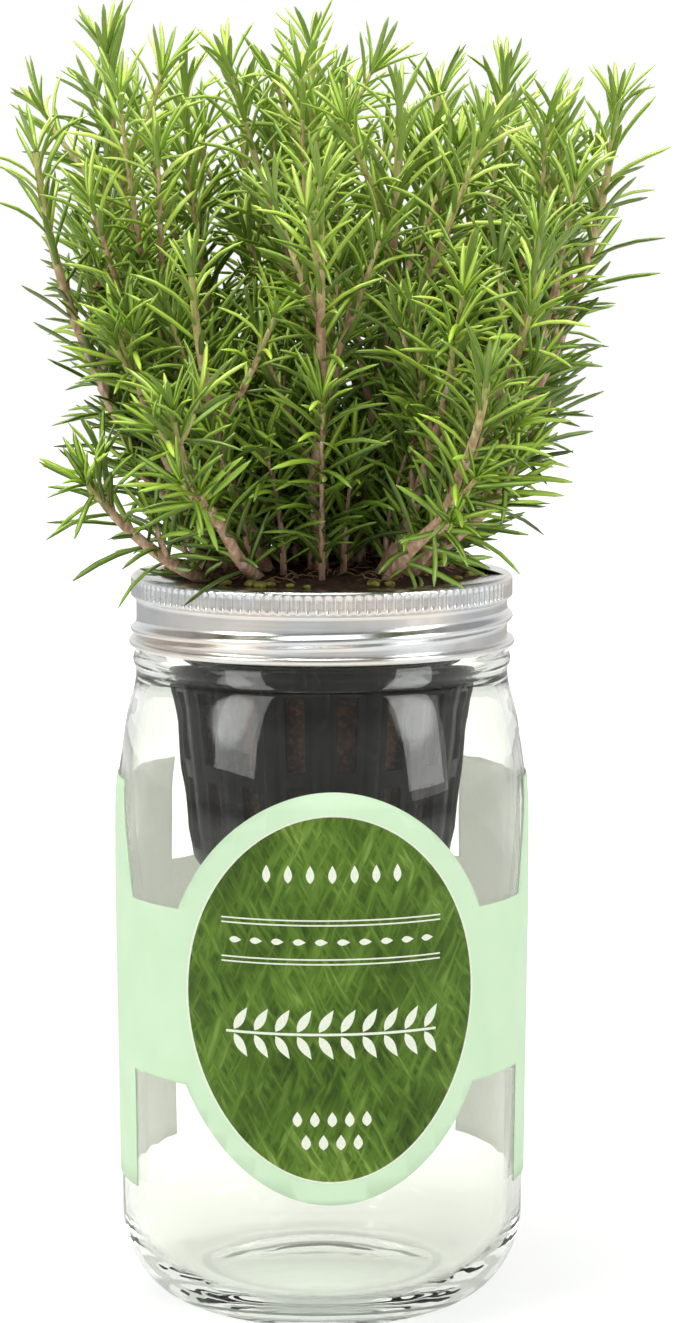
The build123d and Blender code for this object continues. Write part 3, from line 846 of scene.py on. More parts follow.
# %% Coconut fibres
FIBRES, FIBRE_SHAPES = 260, 12
FIBRE_LIFTS = (0.5, 0.8, 0.6, 0.3, -0.1)  # a fibre arches up from the coir and dips back in
FIBRE_RADIUS, FIBRE_TIP_RADIUS = 0.14, 0.05
soil_random = random.Random(5)


def on_soil(radius, angle, lift=0.0):
    """A point on the mound, in metres."""
    place = Vector((radius * math.cos(angle), radius * math.sin(angle), soil_height(radius) + lift))
    return place * MM


fibre_meshes = []
for n in range(FIBRE_SHAPES):
    heading, points = 0.0, [Vector((0, 0, 0))]
    for lift in FIBRE_LIFTS:
        heading += soil_random.uniform(-0.6, 0.6)
        ahead = Vector((math.cos(heading), math.sin(heading), 0))
        points.append(points[-1] + ahead * soil_random.uniform(0.6, 1.4) * MM)
        points[-1].z = lift * soil_random.uniform(0.3, 1.3) * MM
    fibre_bm = bmesh.new()
    tube(fibre_bm, points, [FIBRE_RADIUS * MM] * 5 + [FIBRE_TIP_RADIUS * MM], sides=4)
    mesh = bpy.data.meshes.new("fibre_shape")
    fibre_bm.to_mesh(mesh)
    fibre_bm.free()
    mesh.materials.append(fibre)
    fibre_meshes.append(mesh)

fibres = []
for n in range(FIBRES):
    radius = (SOIL_EDGE_RADIUS - 5) * math.sqrt(soil_random.uniform(0.0, 1.0))
    place = Matrix.Translation(on_soil(radius, soil_random.uniform(0, TURN)))
    place = place @ Matrix.Rotation(soil_random.uniform(0, TURN), 4, "Z")
    fibres.append((soil_random.choice(fibre_meshes), place))
fibre_piece = piece(bmesh.new(), "coir_fibres", [fibre], "pot")
join_copies(fibre_piece, fibres)

# %% Tufts of moss along the rim
MOSS_TUFTS = 34

moss_bm = bmesh.new()
for n in range(MOSS_TUFTS):
    angle = soil_random.uniform(0, TURN)
    size = soil_random.uniform(0.7, 1.7)
    place = on_soil(SOIL_EDGE_RADIUS - size - soil_random.uniform(0.2, 2.5), angle, 0.1)
    shape = Matrix.Translation(place) @ Matrix.Diagonal((size * MM, size * MM, size * 0.55 * MM, 1))
    tuft = bmesh.ops.create_icosphere(moss_bm, subdivisions=3, radius=1, matrix=shape)["verts"]
    for v in tuft:
        v.co += (v.co - place) * noise.noise(v.co / (0.6 * MM)) * 0.45
piece(moss_bm, "edge_moss", [moss], "pot")

# %% [markdown]
# ## Rosemary
#
# Each sprig is a woody stem that bows outwards and turns up to the light, green near its tip and
# pinkish-brown below. Its needles stand in crossed pairs, close together at the tip and wider
# apart below, and slimmer shoots branch off it and fill the bush. A needle is leathery and narrow:
# deep green and glossy above, paler below, with its edges rolled under. Hair particles could grow
# the needles, but they give no mesh of their own. Here a few needle shapes are modelled once, in
# steps of age. Placing thousands of objects that share those meshes is quick, and joining them to
# their stem makes each sprig one piece. Tone and age are kept as attributes on the needles, which
# the material reads.

# %% Leaf material
# Waxy leaf: glossy deep green above with a painted highlight down the middle and painted shade at
# the rolled edges, fresh and yellow-green when young, grey-green and dull of colour below. A fine
# mottle breaks up the wax.
LEAF_LAYERS = ("age", "tone", "under", "across")
MOTTLE_MM = 2.5  # drawn coarser than the real pores, which wouldn't show

leaf = new_material("rosemary_needle_waxy")
leaf_age, leaf_tone, leaf_under, leaf_across = [
    node(leaf, "Attribute", attribute_name=name).outputs["Fac"] for name in LEAF_LAYERS
]
mottle = object_pattern(leaf, MOTTLE_MM, detail=3.0)
# painted highlight down the middle of a needle's top, and painted shade at its rolled edges
painted_highlight_steps = [(0.0, 0.85), (0.2, 1.0), (0.45, 0.35), (0.8, 0.0)]
painted_highlight_stripe = node(leaf, "ValToRGB", {"Fac": leaf_across}, painted_highlight_steps)
bright = node(leaf, "Math", {0: leaf_tone, 1: 2.0}, operation="POWER")
bright = node(leaf, "Math", {0: bright, 1: 0.8}, operation="MULTIPLY")
# the painted highlight and each needle's own random tone turn the dark greens to the light ones
highlight_and_tone_share = node(leaf, "Math", {0: painted_highlight_stripe, 1: 0.68, 2: bright}, operation="MULTIPLY_ADD")

# %% Leaf colours, from the oldest and lowest needles to the youngest and highest
# dark greens show in the painted shade at the edges and in dull needles; light greens in the
# painted highlight and in bright needles
DARK_GREENS = [(0.0, "1A3004"), (0.35, "294A06"), (0.7, "446E0A"), (1.0, "729E18")]
LIGHT_GREENS = [(0.0, "96BE4C"), (0.35, "ACD246"), (0.7, "C6E64E"), (1.0, "E0F478")]
UNDER_GREENS = [(0.0, "35441A"), (0.5, "5F7531"), (1.0, "93AC55")]

dark, light, below = [
    node(leaf, "ValToRGB", {"Fac": leaf_age}, greens)
    for greens in (DARK_GREENS, LIGHT_GREENS, UNDER_GREENS)
]
upper = {0: highlight_and_tone_share, MIX_FIRST: dark, MIX_SECOND: light}
upper = node(leaf, "Mix", upper, data_type="RGBA").outputs[MIXED]
mottled = node(leaf, "Math", {0: mottle, 1: 0.3, 2: -0.12}, operation="MULTIPLY_ADD")
upper = {0: mottled, MIX_FIRST: upper, MIX_SECOND: linear("AFC94F")}
upper = node(leaf, "Mix", upper, data_type="RGBA").outputs[MIXED]
both_sides = {0: leaf_under, MIX_FIRST: upper, MIX_SECOND: below}
leaf_settings = {
    "Base Color": node(leaf, "Mix", both_sides, data_type="RGBA").outputs[MIXED],
    "Roughness": 0.28,
    "Specular IOR Level": 0.5,
    "Normal": node(leaf, "Bump", {"Height": mottle, "Strength": 0.2, "Distance": 0.1 * MM}),
}
surface(leaf, node(leaf, "BsdfPrincipled", leaf_settings))

# %% Bark material
# Young woody stem: matt pinkish tan with fine cracks along it, yellow-green where it is new
BARK_GRAIN_MM = 1.2

bark = new_material("rosemary_stem_bark")
bark_age = node(bark, "Attribute", attribute_name="age").outputs["Fac"]
cracks = object_pattern(bark, BARK_GRAIN_MM, stretch=(1, 1, 0.35), detail=4.0)
old_stops = [(0.3, "9A7259"), (0.55, "CBA68A"), (0.75, "EBD6C2")]
new_stops = [(0.3, "A09A58"), (0.7, "C8C67C")]
bark_parts = {
    0: node(bark, "ValToRGB", {"Fac": bark_age}, [(0.7, 0.0), (0.95, 1.0)]),
    MIX_FIRST: node(bark, "ValToRGB", {"Fac": cracks}, old_stops),
    MIX_SECOND: node(bark, "ValToRGB", {"Fac": cracks}, new_stops),
}
bark_settings = {
    "Base Color": node(bark, "Mix", bark_parts, data_type="RGBA").outputs[MIXED],
    "Roughness": 0.65,
    "Normal": node(bark, "Bump", {"Height": cracks, "Strength": 0.6, "Distance": 0.25 * MM}),
}
surface(bark, node(bark, "BsdfPrincipled", bark_settings))

# %% Needle shapes
NEEDLE_LENGTH, NEEDLE_WIDTH, NEEDLE_THICK = 18.0, 1.5, 0.65
NEEDLE_SHAPES, NEEDLE_AGES = 9, 6
NEEDLE_STATIONS = (0.0, 0.14, 0.38, 0.64, 0.86, 1.0)
NEEDLE_WIDTHS = (0.5, 0.85, 1.0, 1.0, 0.8, 0.2)
UNDER_WIDTH = 0.85  # the under side is this much narrower, because the edges roll under
DROOP_LEAST, DROOP_MORE = 16, 48  # degrees
needle_random = random.Random(11)


def needle_shape(number):
    """A needle along +X with its top up. It bends down by its own amount along its length."""
    bm = bmesh.new()
    under, across = [bm.verts.layers.float.new(name) for name in ("under", "across")]
    spans = len(NEEDLE_STATIONS) - 1
    droop = math.radians(DROOP_LEAST + DROOP_MORE * number / (NEEDLE_SHAPES - 1))
    twist = math.radians(needle_random.uniform(-35, 35))
    bmesh.ops.create_grid(bm, x_segments=spans, y_segments=2, size=1)
    bmesh.ops.solidify(bm, geom=bm.faces[:], thickness=NEEDLE_THICK * MM)
    lowest = min(v.co.z for v in bm.verts)
    for v in bm.verts:
        station, side = round((v.co.x + 1) / 2 * spans), v.co.y
        below = abs(v.co.z - lowest) < 0.1 * NEEDLE_THICK * MM
        v[under], v[across] = float(below), abs(side)
        along, wide = NEEDLE_STATIONS[station], NEEDLE_WIDTHS[station]
        rolled_under = -0.5 * side**2 * wide
        drop = -NEEDLE_THICK * wide * (1 - 0.55 * side**2) if below else 0
        out = NEEDLE_WIDTH / 2 * wide * side * (UNDER_WIDTH if below else 1)
        place = Vector((0, out, rolled_under + drop))
        place.rotate(Matrix.Rotation(twist * along, 3, "X"))
        place.rotate(Matrix.Rotation(droop * along, 3, "Y"))
        bend = droop * along
        sway = math.sin(along * 1.5 + number) * 0.25 * along
        centre = Vector((math.sin(bend), sway / NEEDLE_LENGTH * droop, math.cos(bend) - 1))
        v.co = (centre * NEEDLE_LENGTH / droop + place) * MM
    outwards(bm)
    mesh = bpy.data.meshes.new(f"needle_shape_{number}")
    bm.to_mesh(mesh)
    bm.free()
    mesh.materials.append(leaf)
    mesh.polygons.foreach_set("use_smooth", [True] * len(mesh.polygons))
    return mesh


# %% Needles in steps of age, each shape in its own tone
def aged(shape, age, tone):
    """A copy of a needle shape that carries one age and one tone."""
    mesh = shape.copy()
    for name, value in (("age", age), ("tone", tone)):
        mesh.attributes.new(name, "FLOAT", "POINT")
        mesh.attributes[name].data.foreach_set("value", [value] * len(mesh.vertices))
    return mesh


needle_meshes = []
for number in range(NEEDLE_SHAPES):
    shape = needle_shape(number)
    tone = number * 5 % NEEDLE_SHAPES / (NEEDLE_SHAPES - 1)
    needle_meshes.append([aged(shape, n / (NEEDLE_AGES - 1), tone) for n in range(NEEDLE_AGES)])
print("faces in a needle", len(shape.polygons))

# %% Where the sprigs stand
# The tips' places across, back and up, as shares of the crown's radius and height
CROWN_RADIUS, CROWN_HEIGHT = 78.0, 126.0
ROOT_DEPTH = 2.0
STEM_OUT_SHARES = (0.36, 0.66, 0.95, 1.0)
STEM_UP_SHARES = (0.0, 0.26, 0.62, 1.0)
SPRIG_TIP_SHARES = (
    (-0.64, -0.06, 0.93),
    (-0.84, -0.19, 0.75),
    (-0.42, 0.32, 0.86),
    (-0.25, 0.57, 0.85),
    (-0.03, 0.06, 0.94),
    (0.23, -0.26, 0.83),
    (0.36, 0.46, 0.86),
    (0.56, 0.27, 0.88),
    (0.62, 0.62, 0.80),
    (0.88, -0.06, 0.84),
    (-0.37, -0.53, 0.53),
    (0.00, -0.60, 0.69),
    (0.41, -0.60, 0.53),
    (-0.42, -0.72, 0.30),
    (0.47, -0.80, 0.36),
    (-0.66, -0.55, 0.17),
    (0.70, 0.10, 0.32),
    (0.55, -0.45, 0.20),
    (-0.73, 0.30, 0.56),
    (0.76, 0.36, 0.62),
    (-0.68, 0.64, 0.65),
    (0.03, 0.79, 0.87),
    (0.62, -0.62, 0.60),
    (-0.57, -0.38, 0.46),
    (-0.31, 0.81, 0.40),
    (0.37, 0.80, 0.44),
)
UP = Vector((0, 0, 1))
print("sprigs", len(SPRIG_TIP_SHARES))


# %% Points along a stem
def bezier(shares, along):
    """The cubic curve through the first and last of four shares, drawn towards the other two."""
    back = 1 - along
    start, near, far, end = shares
    return start * back**3 + 3 * near * back**2 * along + 3 * far * back * along**2 + end * along**3


def stem_point(tip, along):
    """A point on a sprig's bowed stem, in metres."""
    root_height = FLANGE_HIGH - ROOT_DEPTH
    out, up = bezier(STEM_OUT_SHARES, along), bezier(STEM_UP_SHARES, along)
    return Vector((tip[0] * out, tip[1] * out, root_height + (tip[2] - root_height) * up)) * MM


def point_along(points, share):
    """The point and the heading at a share of a chain of points."""
    place = min(max(share, 0), 0.9999) * (len(points) - 1)
    first = int(place)
    heading = (points[min(first + 2, len(points) - 1)] - points[max(first - 1, 0)]).normalized()
    return points[first].lerp(points[first + 1], place - first), heading


def beside(heading, turn):
    """The direction square to a heading, turned round it by an angle."""
    return Matrix.Rotation(turn, 3, heading) @ heading.orthogonal().normalized()


# %% Set needles along a shoot
LOWEST_TIP = (FLANGE_HIGH + 2.5) * MM
SPREAD = 1.0 * MM  # how far a needle's tip may pass the CAD model's box
LEFT_LIMIT = -73.0 * MM
ROLL = 0.7  # radians a needle may turn about its own length
AGE_SHARE, PAINTED_TOP_LIGHT_SHARE, AGE_SHIFT = 0.5, 0.6, 0.02  # a needle's colour age: its real age along the shoot, plus painted top light by its height


def set_needle(found, rand, base, forward, outward, lean, length, age, shapes=NEEDLE_SHAPES):
    """Notes the mesh and place of one needle that starts at base and leans out from the shoot."""
    direction = forward * math.cos(lean) + outward * math.sin(lean)
    side = direction.cross(forward).normalized()
    top = side.cross(direction)
    turn = Matrix((direction, top.cross(direction), top)).transposed().to_4x4()
    turn = turn @ Matrix.Rotation(rand.uniform(-ROLL, ROLL), 4, "X")
    size = length / NEEDLE_LENGTH
    thin = 0.45 + 0.55 * min(size, 1)
    place = Matrix.Translation(base) @ turn @ Matrix.Diagonal((size, thin, thin, 1))
    tip = base + direction * length * MM
    # Needles higher in the bush take a younger, lighter colour: painted light from above, added to
    # their real age along the shoot.
    height = (tip.z / MM - FLANGE_HIGH) / CROWN_HEIGHT
    age = min(1, max(0, AGE_SHARE * age + PAINTED_TOP_LIGHT_SHARE * height - AGE_SHIFT))
    in_box = all(a - SPREAD < v < b + SPREAD for v, a, b in zip(tip, cad_low, cad_high))
    if tip.z > LOWEST_TIP and tip.x > LEFT_LIMIT and in_box:
        step = round(age * (NEEDLE_AGES - 1))
        found.append((rand.choice(needle_meshes[:shapes])[step], place))


# %% Pairs of needles along a shoot, and a tuft at its tip
YOUNG_FROM = 0.72  # share of a shoot's length past which its needles close up
LEAN, LEAN_LESS, LEAN_YOUNG, LEAN_VARIES = 42, 8, 20, 11  # degrees off the shoot
PAIR_TURN, PAIR_TURN_VARIES = 83, 14  # degrees from a pair to the next
TIP_NEEDLES, TIP_TURN, STRAIGHT_SHAPES = 6, 1.2, 4


def set_needles(rand, points, spacing, start, age_low, length_scale):
    """Crossed pairs of needles along a shoot, closer and steeper towards its tip."""
    found = []
    total = sum((b - a).length for a, b in zip(points, points[1:])) / MM
    travelled, turn = start * total, rand.uniform(0, TURN)
    while travelled < total:
        share = travelled / total
        base, forward = point_along(points, share)
        young_share = max(0.0, (share - YOUNG_FROM) / 0.28)
        varied = rand.uniform(-LEAN_VARIES, LEAN_VARIES)
        lean = math.radians(LEAN - LEAN_LESS * share - LEAN_YOUNG * young_share + varied)
        age = age_low + (1 - age_low) * share**1.4
        length = NEEDLE_LENGTH * length_scale * (1 - 0.2 * young_share**2)
        for side in (0, math.pi):
            outward = beside(forward, turn + side + rand.uniform(-0.3, 0.3))
            own = length * rand.uniform(0.78, 1.15)
            set_needle(found, rand, base, forward, outward, lean, own, age)
        turn += math.radians(PAIR_TURN + rand.uniform(-PAIR_TURN_VARIES, PAIR_TURN_VARIES))
        travelled += spacing * (1 - 0.45 * young_share) * rand.uniform(0.85, 1.15)
    base, forward = point_along(points, 1)
    for n in range(TIP_NEEDLES):
        lean, own = math.radians(rand.uniform(7, 27)), rand.uniform(0.5, 0.8) * NEEDLE_LENGTH
        outward = beside(forward, turn + n * TIP_TURN)
        set_needle(found, rand, base, forward, outward, lean, own, 1.0, STRAIGHT_SHAPES)
    return found


# %% Side shoots that stay inside the crown's outline
QUARTERS = (0, 0.25, 0.5, 0.75, 1)
REACH_MOST, REACH_LEAST, REACH_GROWS, REACH_FROM = 66 * MM, 31 * MM, 0.6, 200 * MM


def crown_reach(height):
    """How far from the axis a shoot may end at a height, both in metres. The bush is waisted."""
    return min(REACH_MOST, REACH_LEAST + REACH_GROWS * max(0, height - REACH_FROM))


def side_shoot(rand, path, share, reach, spread, lift):
    """Points along a shoot that leaves the stem at a share of its length and turns up."""
    base, forward = point_along(path, share)
    for attempt in range(12):
        heading = (forward + beside(forward, rand.uniform(0, TURN)) * spread).normalized()
        length = reach * (1 - 0.05 * attempt)
        end = base + heading * length + UP * length * lift
        if math.hypot(end.x, end.y * 1.15) < crown_reach(end.z) and end.z < path[-1].z - 3 * MM:
            break
    return [base + heading * length * s + UP * length * lift * s * s for s in QUARTERS]


# %% Help for stems: steady noise, layers, and joining the needles on
def steady_noise(place):
    """Three smooth noise values as a vector. Blender's noise_vector starts from the clock, so it
    would bend the stems another way in each run."""
    return Vector([noise.noise(place + Vector((apart, 0, 0))) for apart in (0.0, 31.4, 67.9)])


def leafy_piece(name, stems, needles, stands_for=()):
    """Joins placed needles to their stems' mesh as one piece of the bush."""
    made = piece(stems, name, [leaf, bark], "pot", stands_for)
    made.data.polygons.foreach_set("material_index", [1] * len(made.data.polygons))
    join_copies(made, needles)


def stem_layers(bm):
    """Gives a stem's bmesh the layers that the needles have, and returns the age layer."""
    return [bm.verts.layers.float.new(name) for name in LEAF_LAYERS][0]


# %% Sizes of stems and shoots
STEM_ROOT_MM, STEM_TIP_MM = 1.75, 0.8
STEM_POINTS, STEM_SWAY = 24, 3.2
SHOOT_RADII = [r * MM for r in (1.0, 0.9, 0.8, 0.65, 0.45)]
LONG_SHOOT_EVERY, SHORT_SHOOT_EVERY = 42, 19  # mm of stem

stem_radii = [
    (STEM_ROOT_MM + (STEM_TIP_MM - STEM_ROOT_MM) * n / STEM_POINTS) * MM
    for n in range(STEM_POINTS + 1)
]
print("stems", 2 * STEM_ROOT_MM, "to", 2 * STEM_TIP_MM, "mm thick")

# %% Grow every sprig
needle_count = 0
for number, shares in enumerate(SPRIG_TIP_SHARES):
    rand = random.Random(100 + number)
    tip = (shares[0] * CROWN_RADIUS, shares[1] * CROWN_RADIUS, SOIL_TOP + shares[2] * CROWN_HEIGHT)
    wander = Vector((rand.uniform(-90, 90), rand.uniform(-90, 90), rand.uniform(-90, 90)))
    path = []
    for n in range(STEM_POINTS + 1):
        along = n / STEM_POINTS
        sway = steady_noise(wander + UP * along * STEM_SWAY) * STEM_SWAY * MM
        loose = math.sin(math.pi * min(1, along * 1.5)) * (along < 0.99)
        path.append(stem_point(tip, along) + sway * loose)
    stems = bmesh.new()
    age_layer = stem_layers(stems)
    stem_ages = [n / STEM_POINTS for n in range(STEM_POINTS + 1)]
    tube(stems, path, stem_radii, sides=8, paint=(age_layer, stem_ages))
    needles = set_needles(rand, path, 3.7, 0.16, 0.0, 1.0)
    height = (path[-1] - path[0]).length / MM
    side_shoots = [
        (rand.uniform(0.3, 0.58), rand.uniform(0.36, 0.56) * height, 0.5, 0.22)
        for _ in range(round(height / LONG_SHOOT_EVERY))
    ]
    side_shoots += [
        (rand.uniform(0.12, 0.85), rand.uniform(13, 30), 0.9, 0.3)
        for _ in range(round(height / SHORT_SHOOT_EVERY))
    ]
    for share, reach, spread, lift in side_shoots:
        shoot = side_shoot(rand, path, share, reach * MM, spread, lift)
        young_end = min(1, share + reach / height)
        ages = [share + (young_end - share) * s for s in QUARTERS]
        tube(stems, shoot, SHOOT_RADII, 6, (age_layer, ages))
        needles += set_needles(rand, shoot, 3.4, 0.12, share * 0.6, 0.74 + 0.25 * reach / height)
    name = f"sprig_{number + 1:02d}"
    leafy_piece(name, stems, needles, [f"rosemary_{name}"])
    needle_count += len(needles)
print("needles", needle_count)

# %% Low shoots round the stems' feet
LOW_SHOOTS, LOW_SPREAD_MM, NEXT_SHOOT_TURN = 42, 31, 2.4
LOW_RADII = [r * MM for r in (0.9, 0.8, 0.65, 0.5, 0.4)]
LOW_AGES = [0, 0.1, 0.2, 0.3, 0.4]

rand = random.Random(77)
stems = bmesh.new()
age_layer = stem_layers(stems)
needles = []
for n in range(LOW_SHOOTS):
    angle = n * NEXT_SHOOT_TURN
    radius = LOW_SPREAD_MM * math.sqrt((n + 0.5) / LOW_SHOOTS)
    base = on_soil(radius, angle, -1.0)
    out = Vector((math.cos(angle), math.sin(angle), 0))
    length = rand.uniform(22, 44) * MM
    bow = 0.15 + 0.3 * radius / LOW_SPREAD_MM
    shoot = [base + UP * length * s + out * length * bow * s * s for s in QUARTERS]
    tube(stems, shoot, LOW_RADII, 6, (age_layer, LOW_AGES))
    needles += set_needles(rand, shoot, 2.8, 0.1, 0.25, 1.05)
leafy_piece("low_shoots", stems, needles)
print("low needles", len(needles))

# %% [markdown]
# ## The label sleeve
#
# The sleeve is one die-cut strip of coated card, pale mint outside and plain card inside, with a
# tall oval at the front and a squarer wing on each side. It could be cut out of a cylinder, but a
# real one is cut flat and then bent. So its outline is drawn flat and filled, cut into narrow
# strips so that it can bend, and wrapped round the glass by turning its width into an angle. The
# print is made of thin sheets a hair above the card: a pale edge, a field of soft green blades,
# and plain rules, leaves and seeds in cream.

# %% Card materials
# Coated card: an even, slightly satin mint with a paper grain, drawn coarser than it is
card_front = new_material("coated_card_mint")
card_tone = object_pattern(card_front, 14.0, detail=2.0)
card_grain = object_pattern(card_front, 0.35, detail=2.0)
mint = [(0.3, "CDEBC5"), (0.7, "D5F0CD")]
card_bump = {"Height": card_grain, "Strength": 0.08, "Distance": 0.05 * MM}
front_settings = {
    "Base Color": node(card_front, "ValToRGB", {"Fac": card_tone}, mint),
    "Roughness": 0.55,
    "Normal": node(card_front, "Bump", card_bump),
}
surface(card_front, node(card_front, "BsdfPrincipled", front_settings))

# Bare card: matt cream pulp that lets a little light through, as the sides seen through the jar do
card_back = new_material("uncoated_card_back")
pulp = object_pattern(card_back, 0.8, detail=4.0)
back_settings = {
    "Base Color": node(card_back, "ValToRGB", {"Fac": pulp}, [(0.3, "F6F1E4"), (0.7, "FDF9EF")]),
    "Roughness": 0.8,
    "Specular IOR Level": 0.2,
    "Subsurface Weight": 1.0,
    "Subsurface Radius": (1.0, 1.0, 0.9),
    "Subsurface Scale": 3.0 * MM,
}
surface(card_back, node(card_back, "BsdfPrincipled", back_settings))

# %% Print materials
# Offset ink: a soft field of leaning green blades, darker in broad patches. Blades are two noises,
# each leant its own way and six times as long as wide, and the brighter one shows.
BLADE_LEANS_MM = ((0.5, 9), (-0.38, 12))
BLADE_GREENS = [(0.28, "2C4411"), (0.45, "48651C"), (0.6, "61822E"), (0.78, "8CA650")]

field_ink = new_material("printed_ink_blades")
field_place = node(field_ink, "TexCoord").outputs["Object"]
blades = []
for lean, blade_mm in BLADE_LEANS_MM:
    leant = node(field_ink, "Mapping", {"Vector": field_place, "Rotation": (0, lean, 0)})
    drawn = node(field_ink, "Mapping", {"Vector": leant, "Scale": (6, 1, 1)})
    settings = {"Vector": drawn, "Scale": 1 / (blade_mm * MM), "Detail": 3.0, "Distortion": 0.8}
    blades.append(node(field_ink, "TexNoise", settings).outputs["Fac"])
both_blades = node(field_ink, "Math", {0: blades[0], 1: blades[1]}, operation="MAXIMUM")
darkened = node(field_ink, "Math", {0: both_blades, 1: -0.28}, operation="ADD")
broad = object_pattern(field_ink, 26.0, detail=1.0)
blade_shade = node(field_ink, "Math", {0: broad, 1: 0.5, 2: darkened}, operation="MULTIPLY_ADD")
field_settings = {
    "Base Color": node(field_ink, "ValToRGB", {"Fac": blade_shade}, BLADE_GREENS),
    "Roughness": 0.55,
    "Specular IOR Level": 0.2,
}
surface(field_ink, node(field_ink, "BsdfPrincipled", field_settings))

# Pale ink: flat cream with a faint fleck of paper
cream_ink = new_material("printed_ink_cream")
fleck = object_pattern(cream_ink, 0.5, detail=2.0)
cream = node(cream_ink, "ValToRGB", {"Fac": fleck}, [(0.3, "E3EBD3"), (0.7, "F4F8EA")])
surface(cream_ink, node(cream_ink, "BsdfPrincipled", {"Base Color": cream, "Roughness": 0.5}))

# %% Sleeve sizes, in millimetres and degrees
CARD_GAP, CARD_THICK, INK_STEP = 0.1, 0.3, 0.03
SLEEVE_TURN = math.radians(3.0)
STRIP_LOW, STRIP_HIGH = 59.3, 100.3
OVAL_HALF_WIDE, OVAL_HALF_HIGH, OVAL_MIDDLE = 37.6, 47.85, 81.45
SIDE_LOW, SIDE_HIGH = 31.0, 127.0
SIDE_FRONT, SIDE_FRONT_TOP, SIDE_BACK = 66.5, 75.0, 130.0
PRINT_HALF_WIDE, PRINT_HALF_HIGH = 32.4, 42.3
PRINT_EDGE = 0.45
STRIP_WIDTH, STRIP_RISE = 2.5, 5.0
print("sleeve", round(TURN * JAR_RADIUS), "mm long when flat")

# %% Flat outlines: angles, ovals, leaves and bars
wall_line = [p for p in outside if p[1] >= HEEL_HEIGHT]


def glass_radius(height):
    """The jar's outside radius at a height, from its outline."""
    for (r0, z0), (r1, z1) in zip(wall_line, wall_line[1:]):
        if z0 <= height <= z1 and z1 > z0:
            return r0 + (r1 - r0) * (height - z0) / (z1 - z0)
    return JAR_RADIUS


def flat(angle):
    """How far from the oval's middle an angle in degrees lies when the card is laid flat."""
    return JAR_RADIUS * math.radians(angle)


def oval_point(half_wide, half_high, t):
    """A point of an oval as it shows from the front, laid out flat."""
    across = JAR_RADIUS * math.asin(half_wide * math.cos(t) / JAR_RADIUS)
    return (across, OVAL_MIDDLE + half_high * math.sin(t))


def oval(half_wide, half_high, start=0.0, end=TURN, steps=96):
    """Points along part of that oval."""
    turns = [start + (end - start) * n / steps for n in range(steps + 1)]
    return [oval_point(half_wide, half_high, t) for t in turns]


def leaf_outline(x, z, length, width, lean, steps=7):
    """A pointed leaf on the flat card, from its stalk at (x, z)."""
    sides = [
        (length * n / steps, width / 2 * math.sin(math.pi * (n / steps) ** 0.8))
        for n in range(steps + 1)
    ]
    loop = sides + [(a, -b) for a, b in sides[-2:0:-1]]
    c, s = math.cos(math.radians(lean)), math.sin(math.radians(lean))
    return [(x + a * c - b * s, z + a * s + b * c) for a, b in loop]


def bar(x, z, length, width):
    """A straight printed bar, centred on (x, z)."""
    corners = ((-1, -1), (1, -1), (1, 1), (-1, 1))
    return [(x + length / 2 * across, z + width / 2 * up) for across, up in corners]


# %% Wrap flat outlines round the glass
def wrapped(outlines, lift):
    """Fills flat outlines, cuts them into strips and wraps them round the glass at this lift."""
    bm = bmesh.new()
    for outline in outlines:
        bm.faces.new([bm.verts.new((x, 0, z)) for x, z in outline])
    low = Vector([min(v.co[k] for v in bm.verts) for k in range(3)])
    high = Vector([max(v.co[k] for v in bm.verts) for k in range(3)])
    for axis, step in ((0, STRIP_WIDTH), (2, STRIP_RISE)):
        normal = Vector((axis == 0, 0, axis == 2))
        for n in range(math.ceil(low[axis] / step), math.ceil(high[axis] / step)):
            geometry = bm.verts[:] + bm.edges[:] + bm.faces[:]
            bmesh.ops.bisect_plane(bm, geom=geometry, plane_co=normal * n * step, plane_no=normal)
    for v in bm.verts:
        angle = v.co.x / JAR_RADIUS + SLEEVE_TURN - math.pi / 2
        radius = (glass_radius(v.co.z) + lift) * MM
        v.co = (radius * math.cos(angle), radius * math.sin(angle), v.co.z * MM)
    bmesh.ops.remove_doubles(bm, verts=bm.verts[:], dist=MERGE)
    for face in bm.faces:
        if face.normal.dot(Vector((*face.calc_center_median().xy, 0))) < 0:
            face.normal_flip()
    return bm


# %% Cut and wrap the card
strip_high_turn = math.asin((STRIP_HIGH - OVAL_MIDDLE) / OVAL_HALF_HIGH)
strip_low_turn = math.asin((STRIP_LOW - OVAL_MIDDLE) / OVAL_HALF_HIGH)
top_half = oval(OVAL_HALF_WIDE, OVAL_HALF_HIGH, math.pi - strip_high_turn, strip_high_turn, 60)
low_half = oval(OVAL_HALF_WIDE, OVAL_HALF_HIGH, strip_low_turn, -math.pi - strip_low_turn, 60)
wing_top = [(SIDE_FRONT, STRIP_HIGH), (SIDE_FRONT_TOP, SIDE_HIGH), (SIDE_BACK, SIDE_HIGH)]
wing_top += [(SIDE_BACK, STRIP_HIGH), (180, STRIP_HIGH)]
wing_low = [(180, STRIP_LOW), (SIDE_BACK, STRIP_LOW), (SIDE_BACK, SIDE_LOW)]
wing_low += [(SIDE_FRONT, SIDE_LOW), (SIDE_FRONT, STRIP_LOW)]
right_top = [(flat(a), z) for a, z in wing_top]
right_low = [(flat(a), z) for a, z in wing_low]
left_top = [(-x, z) for x, z in right_top[::-1]]
left_low = [(-x, z) for x, z in right_low[::-1]]
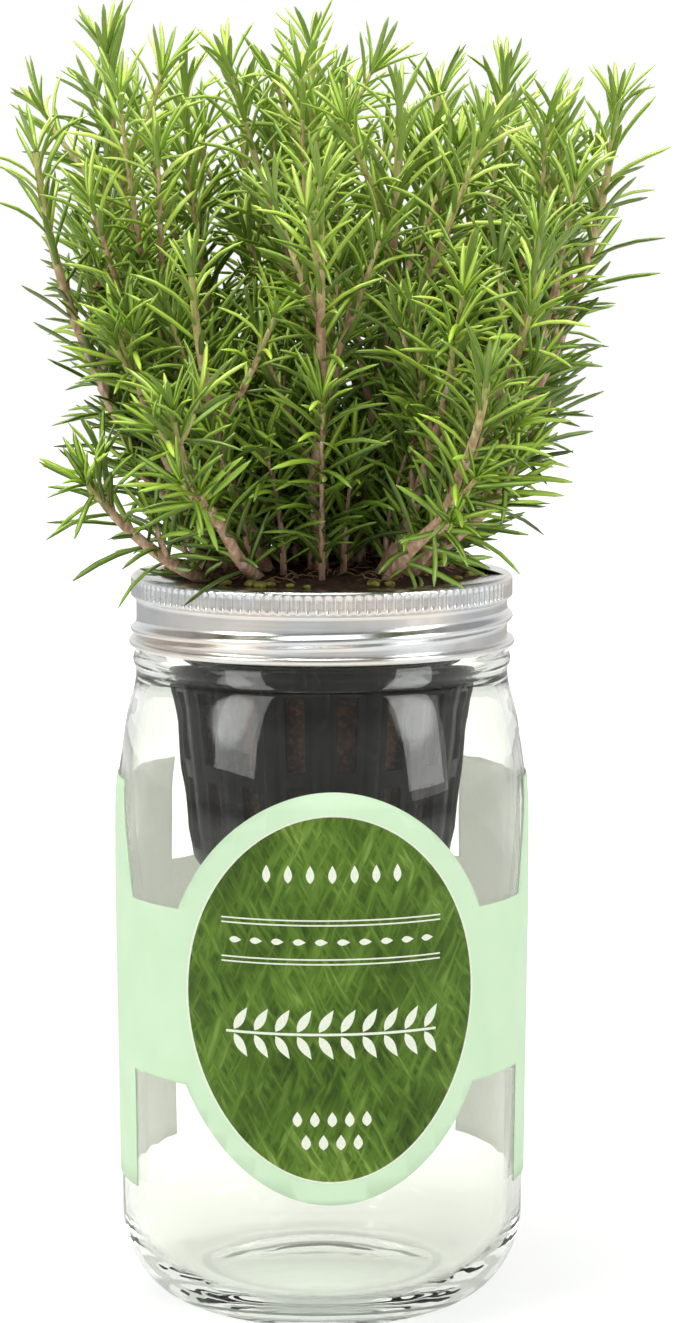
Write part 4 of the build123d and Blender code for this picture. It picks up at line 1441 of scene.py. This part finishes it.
sleeve_outline = left_top + top_half + right_top + right_low + low_half + left_low
card_lift = CARD_GAP + CARD_THICK
card_bm = wrapped([sleeve_outline], card_lift)
card_sides = [card_front, card_back]
sleeve = piece(card_bm, "label_card", card_sides, "jar", ["label_sleeve"])
bare_inside = {"material_offset": 1, "material_offset_rim": 0}
modifier(sleeve, "SOLIDIFY", thickness=CARD_THICK * MM, offset=-1, **bare_inside)

# %% Printed edge and field
edge_oval = oval(PRINT_HALF_WIDE + PRINT_EDGE, PRINT_HALF_HIGH + PRINT_EDGE)[:-1]
edge_bm = wrapped([edge_oval], card_lift + INK_STEP)
piece(edge_bm, "print_edge", [cream_ink], "jar")
field_bm = wrapped([oval(PRINT_HALF_WIDE, PRINT_HALF_HIGH)[:-1]], card_lift + 2 * INK_STEP)
piece(field_bm, "print_field", [field_ink], "jar")

# %% Printed rules, leaves and seeds
# Each leaf or seed is across, up, length, width and lean, in flat millimetres and degrees.
RULE_HEIGHTS, RULE_LENGTH, RULE_WIDTH, RULE_GAP = (100.0, 91.0), 52.0, 0.35, 1.1

marks = [bar(0, z + gap, RULE_LENGTH, RULE_WIDTH) for z in RULE_HEIGHTS for gap in (0, -RULE_GAP)]
marks += [leaf_outline(x, 108.5, 4.2, 1.9, 90) for x in range(-15, 16, 5)]
marks += [leaf_outline(x, 95.0, 3.0, 1.5, 0) for x in range(-24, 22, 5)]
marks += [bar(0, 73.6, 50, 0.6)]
for x in range(-23, 24, 5):
    marks += [leaf_outline(x, 74.1, 6.2, 2.2, 58), leaf_outline(x, 73.1, 6.2, 2.2, -58)]
marks += [leaf_outline(x, 52.0, 3.6, 2.2, 90) for x in (-8, -4, 0, 4, 8)]
marks += [leaf_outline(x, 46.6, 3.6, 2.2, 90) for x in (-6, -2, 2, 6)]
marks_bm = wrapped(marks, card_lift + 3 * INK_STEP)
piece(marks_bm, "print_ornament", [cream_ink], "jar")

# %% Print the CAD box
print("CAD box", [round(v, 4) for v in cad_low], [round(v, 4) for v in cad_high])
